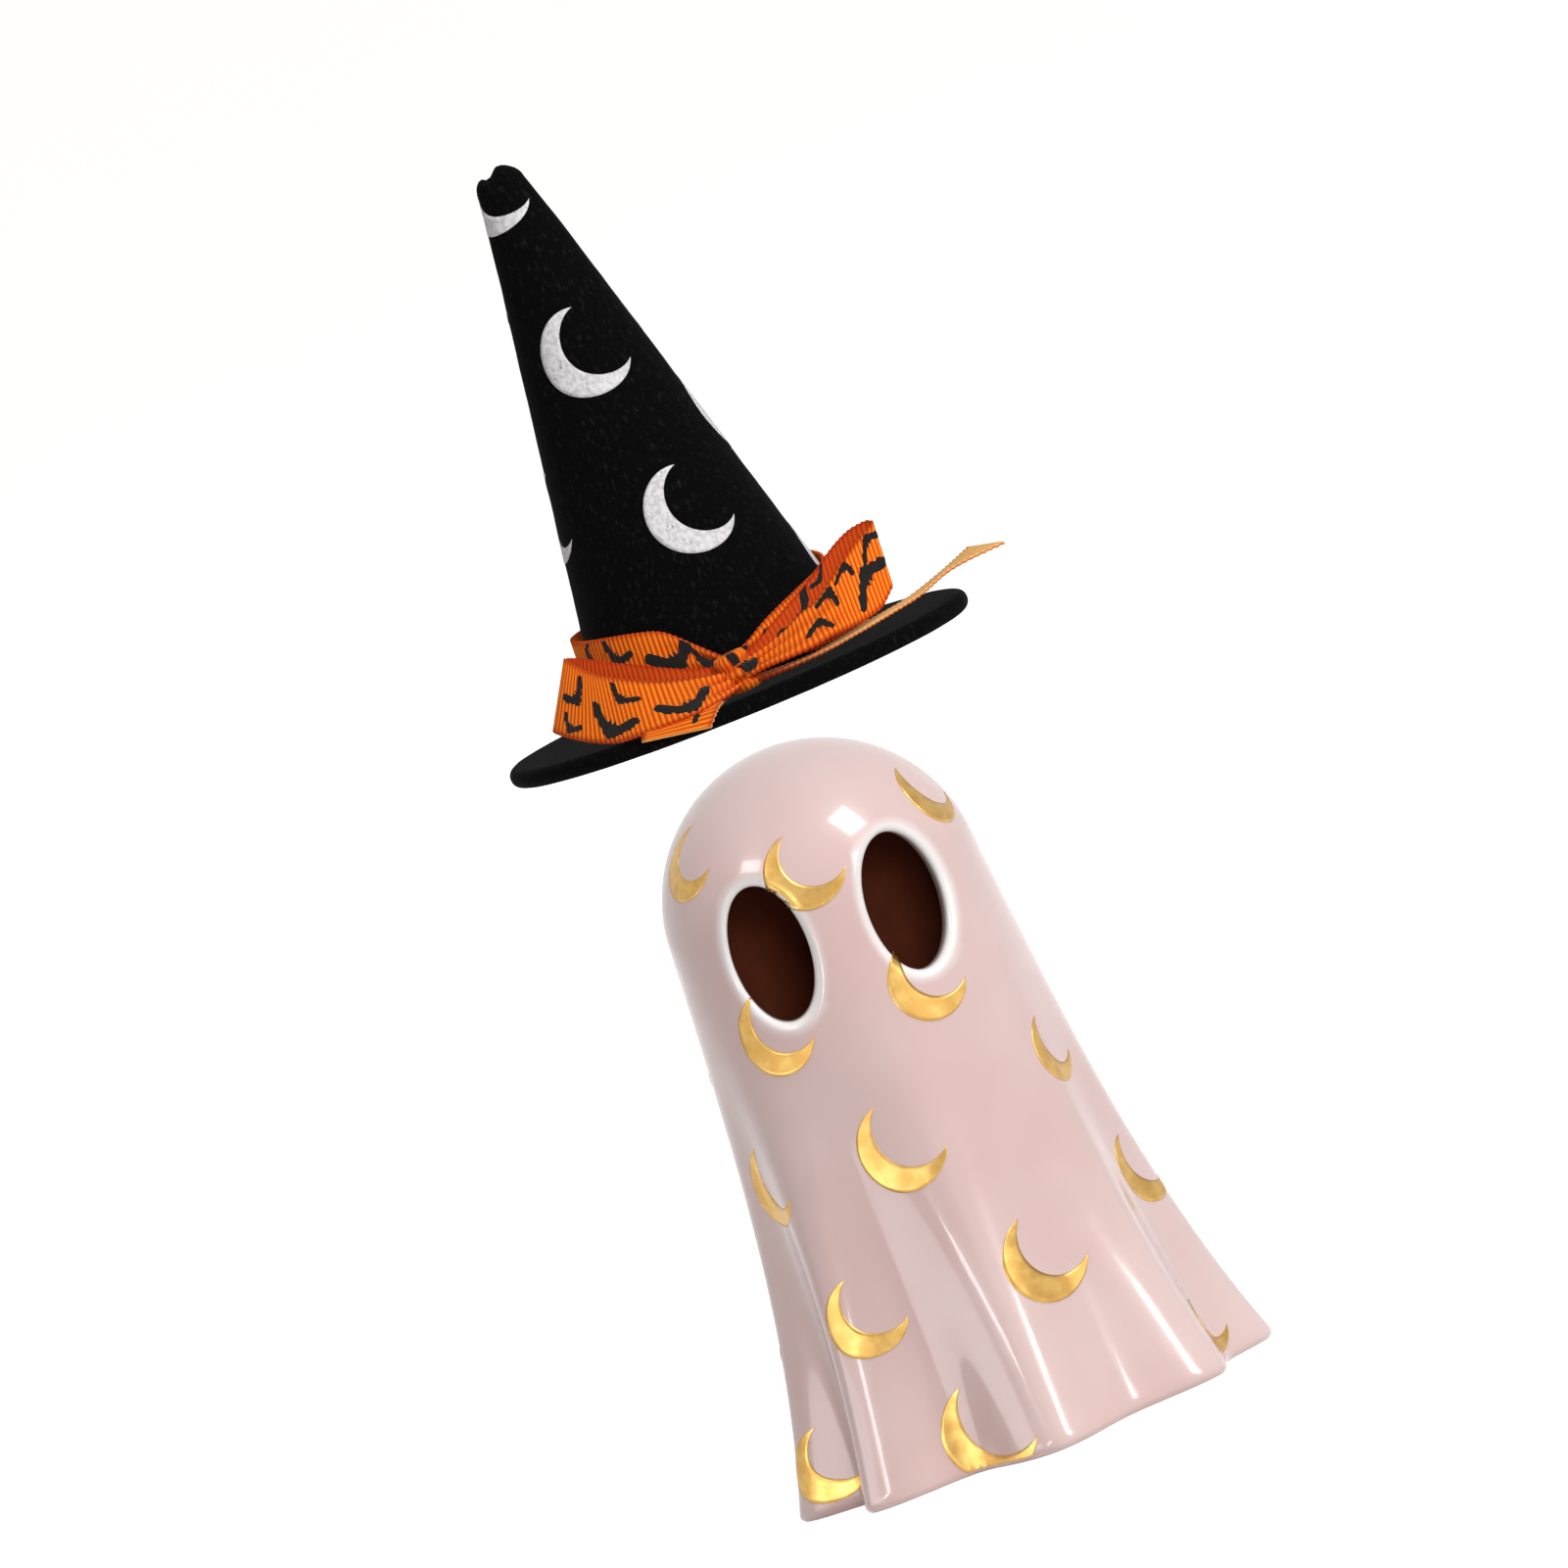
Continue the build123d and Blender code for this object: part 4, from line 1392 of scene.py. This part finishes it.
def tie_ribbon(context, node, surface, face, prints, held, rests_on):
    ribbon = context.scene.ribbon_settings
    pleat = ribbon.knot_pleat if node == "bow_knot" else ribbon.pleat
    run = RibbonRun(ribbon, surface, face, pleat, held)
    cloth = bpy.data.materials.get("orange_ribbon") or orange_ribbon(ribbon)
    ink = bpy.data.materials.get("black_ink") or black_ink(ribbon)
    strip = make_piece(node + "_cloth", run.weave(), [cloth], "hat", "ribbon", node)
    bats = make_piece(node + "_bats", run.bats(prints), [ink], "hat", "ribbon")
    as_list(rests_on)


class OBJECT_OT_ribbon_band(Operator):
    """Wraps the ribbon round the foot of the crown"""

    bl_idname = "object.ribbon_band"
    bl_label = "Ribbon Band"

    def execute(self, context):
        surface = round_crown(context.scene.hat_settings)
        prints = list(BAND_BATS)
        start = BAND_REPEAT_START
        while start < BAND_REPEAT_END:
            prints += [(start + along, across, span, turn, 1) for along, across, span, turn in BAND_REPEAT]
            start += BAND_REPEAT_STEP
        tie_ribbon(context, "ribbon_band", surface, -1, prints, "gathered", ["felt_crown"])
        return {"FINISHED"}


class OBJECT_OT_ribbon_bow(Operator):
    """Ties the bow: its knot, its two loops and its two loose ends"""

    bl_idname = "object.ribbon_bow"
    bl_label = "Ribbon Bow"

    def execute(self, context):
        rows = [
            ("bow_knot", round_knot, -1, KNOT_BATS, "gathered", ["felt_brim"]),
            ("bow_loop_left", between_edges(LEFT_LOOP), -1, LEFT_LOOP_BATS, "folded", ["felt_brim"]),
            ("bow_loop_right", between_edges(RIGHT_LOOP), 1, RIGHT_LOOP_BATS, "folded", ["felt_brim"]),
            ("bow_tail_left", between_edges(LEFT_TAIL), -1, LEFT_TAIL_BATS, "laid", ["felt_brim"]),
            ("bow_tail_right", between_edges(RIGHT_TAIL), -1, RIGHT_TAIL_BATS, "laid", ["felt_brim"]),
        ]
        for row in rows:
            tie_ribbon(context, *row)
        return {"FINISHED"}


# Stage

def light_path_white(tree):
    """Share that is 1 for what the camera, a mirror or a clear body shows, and 0 for light on the figure."""
    path = tree.nodes.new("ShaderNodeLightPath")
    total = path.outputs["Is Camera Ray"]
    for name in ("Is Glossy Ray", "Is Transmission Ray"):
        larger = tree.nodes.new("ShaderNodeMath")
        larger.operation = "MAXIMUM"
        tree.links.new(total, larger.inputs[0])
        tree.links.new(path.outputs[name], larger.inputs[1])
        total = larger.outputs["Value"]
    return total


def make_floor(stage):
    bm = bmesh.new()
    bmesh.ops.create_grid(bm, x_segments=1, y_segments=1, size=stage.floor_size)
    mesh = bpy.data.meshes.new("floor")
    bm.to_mesh(mesh)
    bm.free()
    floor = bpy.data.objects.new("floor", mesh)
    bpy.context.scene.collection.objects.link(floor)
    material = bpy.data.materials.new("pale_floor")
    material.use_nodes = True
    tree = material.node_tree
    shader = tree.nodes["Principled BSDF"]
    shader.inputs["Base Color"].default_value = (*stage.floor, 1.0)
    shader.inputs["Roughness"].default_value = 0.9
    shader.inputs["Specular IOR Level"].default_value = 0.0
    shader.inputs["Emission Color"].default_value = (1.0, 1.0, 1.0, 1.0)
    lift = tree.nodes.new("ShaderNodeMath")
    lift.operation = "MULTIPLY"
    lift.inputs[1].default_value = stage.glow
    tree.links.new(light_path_white(tree), lift.inputs[0])
    tree.links.new(lift.outputs["Value"], shader.inputs["Emission Strength"])
    mesh.materials.append(material)


def make_world(stage):
    world = bpy.data.worlds.new("studio")
    bpy.context.scene.world = world
    world.use_nodes = True
    tree = world.node_tree
    background = tree.nodes["Background"]
    seen = light_path_white(tree)
    tint = tree.nodes.new("ShaderNodeMix")
    tint.data_type = "RGBA"
    tint.inputs[6].default_value = (*stage.fill_tint, 1.0)
    tint.inputs[7].default_value = (1.0, 1.0, 1.0, 1.0)
    tree.links.new(seen, tint.inputs["Factor"])
    tree.links.new(tint.outputs[2], background.inputs["Color"])
    strength = tree.nodes.new("ShaderNodeMapRange")
    strength.inputs["To Min"].default_value = stage.fill
    strength.inputs["To Max"].default_value = 1.0
    tree.links.new(seen, strength.inputs["Value"])
    tree.links.new(strength.outputs["Result"], background.inputs["Strength"])


def aimed(location, target, roll=0.0):
    """Matrix of a lamp or camera at a location that looks at a target."""
    turn = (target - location).to_track_quat("-Z", "Y").to_matrix().to_4x4()
    return Matrix.Translation(location) @ turn @ Matrix.Rotation(roll, 4, "Z")


def make_lamp(name, turn, climb, distance, size, power, target, gloss=True, body=True, lean=0.0):
    """Soft box round the figure, at an angle from the front and above the target in degrees.

    A box without gloss lights surfaces and isn't mirrored in the glaze.
    One without body is only mirrored.
    """
    lamp = bpy.data.lights.new(name, "AREA")
    lamp.shape = "RECTANGLE"
    lamp.size, lamp.size_y = size
    lamp.energy = power
    turn, climb = math.radians(turn), math.radians(climb)
    flat = Vector((math.sin(turn), -math.cos(turn), 0.0)) * math.cos(climb)
    holder = bpy.data.objects.new(name, lamp)
    place = target + (flat + Vector((0.0, 0.0, math.sin(climb)))) * distance
    holder.matrix_world = aimed(place, target, -math.radians(lean))
    holder.visible_camera = False
    holder.visible_glossy = gloss
    holder.visible_diffuse = body
    bpy.context.scene.collection.objects.link(holder)
    return holder


def light_only(lamp, pieces, alone=False):
    """Lets a lamp light some pieces only, and if alone, as if nothing else stood in its way."""
    group = bpy.data.collections.new(lamp.name + "_pieces")
    for piece in pieces:
        group.objects.link(piece)
    lamp.light_linking.receiver_collection = group
    if alone:
        lamp.light_linking.blocker_collection = group


def make_lamps(context, target):
    """Sets the lamps of the ghost, of the hat and of the streaks that are mirrored in the glaze."""
    head, hem, valley = [Vector(spot) * MM for spot in (HEAD_SPOT, HEM_SPOT, VALLEY_SPOT)]
    meshes = [piece for piece in context.scene.objects if piece.type == "MESH"]
    shell = [piece for piece in meshes if piece.name in ("glazed_shell", "gold_crescents")]
    others = [piece for piece in meshes if piece not in shell]

    def lamp(name, spot, **options):
        return make_lamp(name, *LAMPS[name], spot, **options)

    light_only(lamp("ghost_key", head), shell, alone=True)
    light_only(lamp("top_box", head, gloss=False), shell, alone=True)
    light_only(lamp("hat_key", target), others)
    lamp("back_box", head, gloss=False)
    lamp("face_box", target, gloss=False)
    lamp("left_key", head, body=False)
    lamp("left_card", valley, body=False)
    lamp("left_strip", hem, body=False, lean=LEFT_STRIP_LEAN)
    lamp("right_strip", hem, body=False, lean=RIGHT_STRIP_LEAN)


def make_camera(context, stage, target):
    """Sets the camera in front of the target, turned about its line of sight as in the picture."""
    camera = bpy.data.cameras.new("camera")
    camera.sensor_width = 36.0
    camera.lens = camera.sensor_width * stage.distance / stage.view_width
    camera.clip_end = 100.0
    holder = bpy.data.objects.new("camera", camera)
    back = Vector((0.0, -math.cos(stage.elevation), math.sin(stage.elevation)))
    holder.matrix_world = aimed(target + back * stage.distance, target, -stage.roll)
    context.scene.collection.objects.link(holder)
    context.scene.camera = holder


class OBJECT_OT_ghost_stage(Operator):
    """Sets up the floor, the studio light and the camera"""

    bl_idname = "object.ghost_stage"
    bl_label = "Stage"

    def execute(self, context):
        stage = context.scene.stage_settings
        make_floor(stage)
        make_world(stage)
        target = Vector((stage.target_x, 0.0, stage.target_z))
        make_lamps(context, target)
        make_camera(context, stage, target)
        context.scene.view_settings.view_transform = "Standard"
        return {"FINISHED"}


STEPS = [
    OBJECT_OT_ghost_shell,
    OBJECT_OT_gold_crescents,
    OBJECT_OT_felt_hat,
    OBJECT_OT_silver_crescents,
    OBJECT_OT_ribbon_band,
    OBJECT_OT_ribbon_bow,
    OBJECT_OT_ghost_stage,
]


class VIEW3D_PT_ghost(Panel):
    """Lists the steps that build the figure"""

    bl_idname = "VIEW3D_PT_ghost"
    bl_label = "Ceramic Ghost"
    bl_space_type = "VIEW_3D"
    bl_region_type = "UI"
    bl_category = "Ghost"

    def draw(self, context):
        for step in STEPS:
            self.layout.operator(step.bl_idname)


SETTINGS = {
    "ghost_settings": GhostSettings,
    "hat_settings": HatSettings,
    "ribbon_settings": RibbonSettings,
    "stage_settings": StageSettings,
}


def register():
    for name, group in SETTINGS.items():
        bpy.utils.register_class(group)
        setattr(bpy.types.Scene, name, PointerProperty(type=group))
    for step in STEPS:
        bpy.utils.register_class(step)
    bpy.utils.register_class(VIEW3D_PT_ghost)


def unregister():
    bpy.utils.unregister_class(VIEW3D_PT_ghost)
    for step in reversed(STEPS):
        bpy.utils.unregister_class(step)
    for name, group in SETTINGS.items():
        delattr(bpy.types.Scene, name)
        bpy.utils.unregister_class(group)


def main():
    register()
    bpy.ops.object.ghost_shell()
    bpy.ops.object.gold_crescents()
    bpy.ops.object.felt_hat()
    bpy.ops.object.silver_crescents()
    bpy.ops.object.ribbon_band()
    bpy.ops.object.ribbon_bow()
    bpy.ops.object.ghost_stage()


if __name__ == "__main__":
    main()
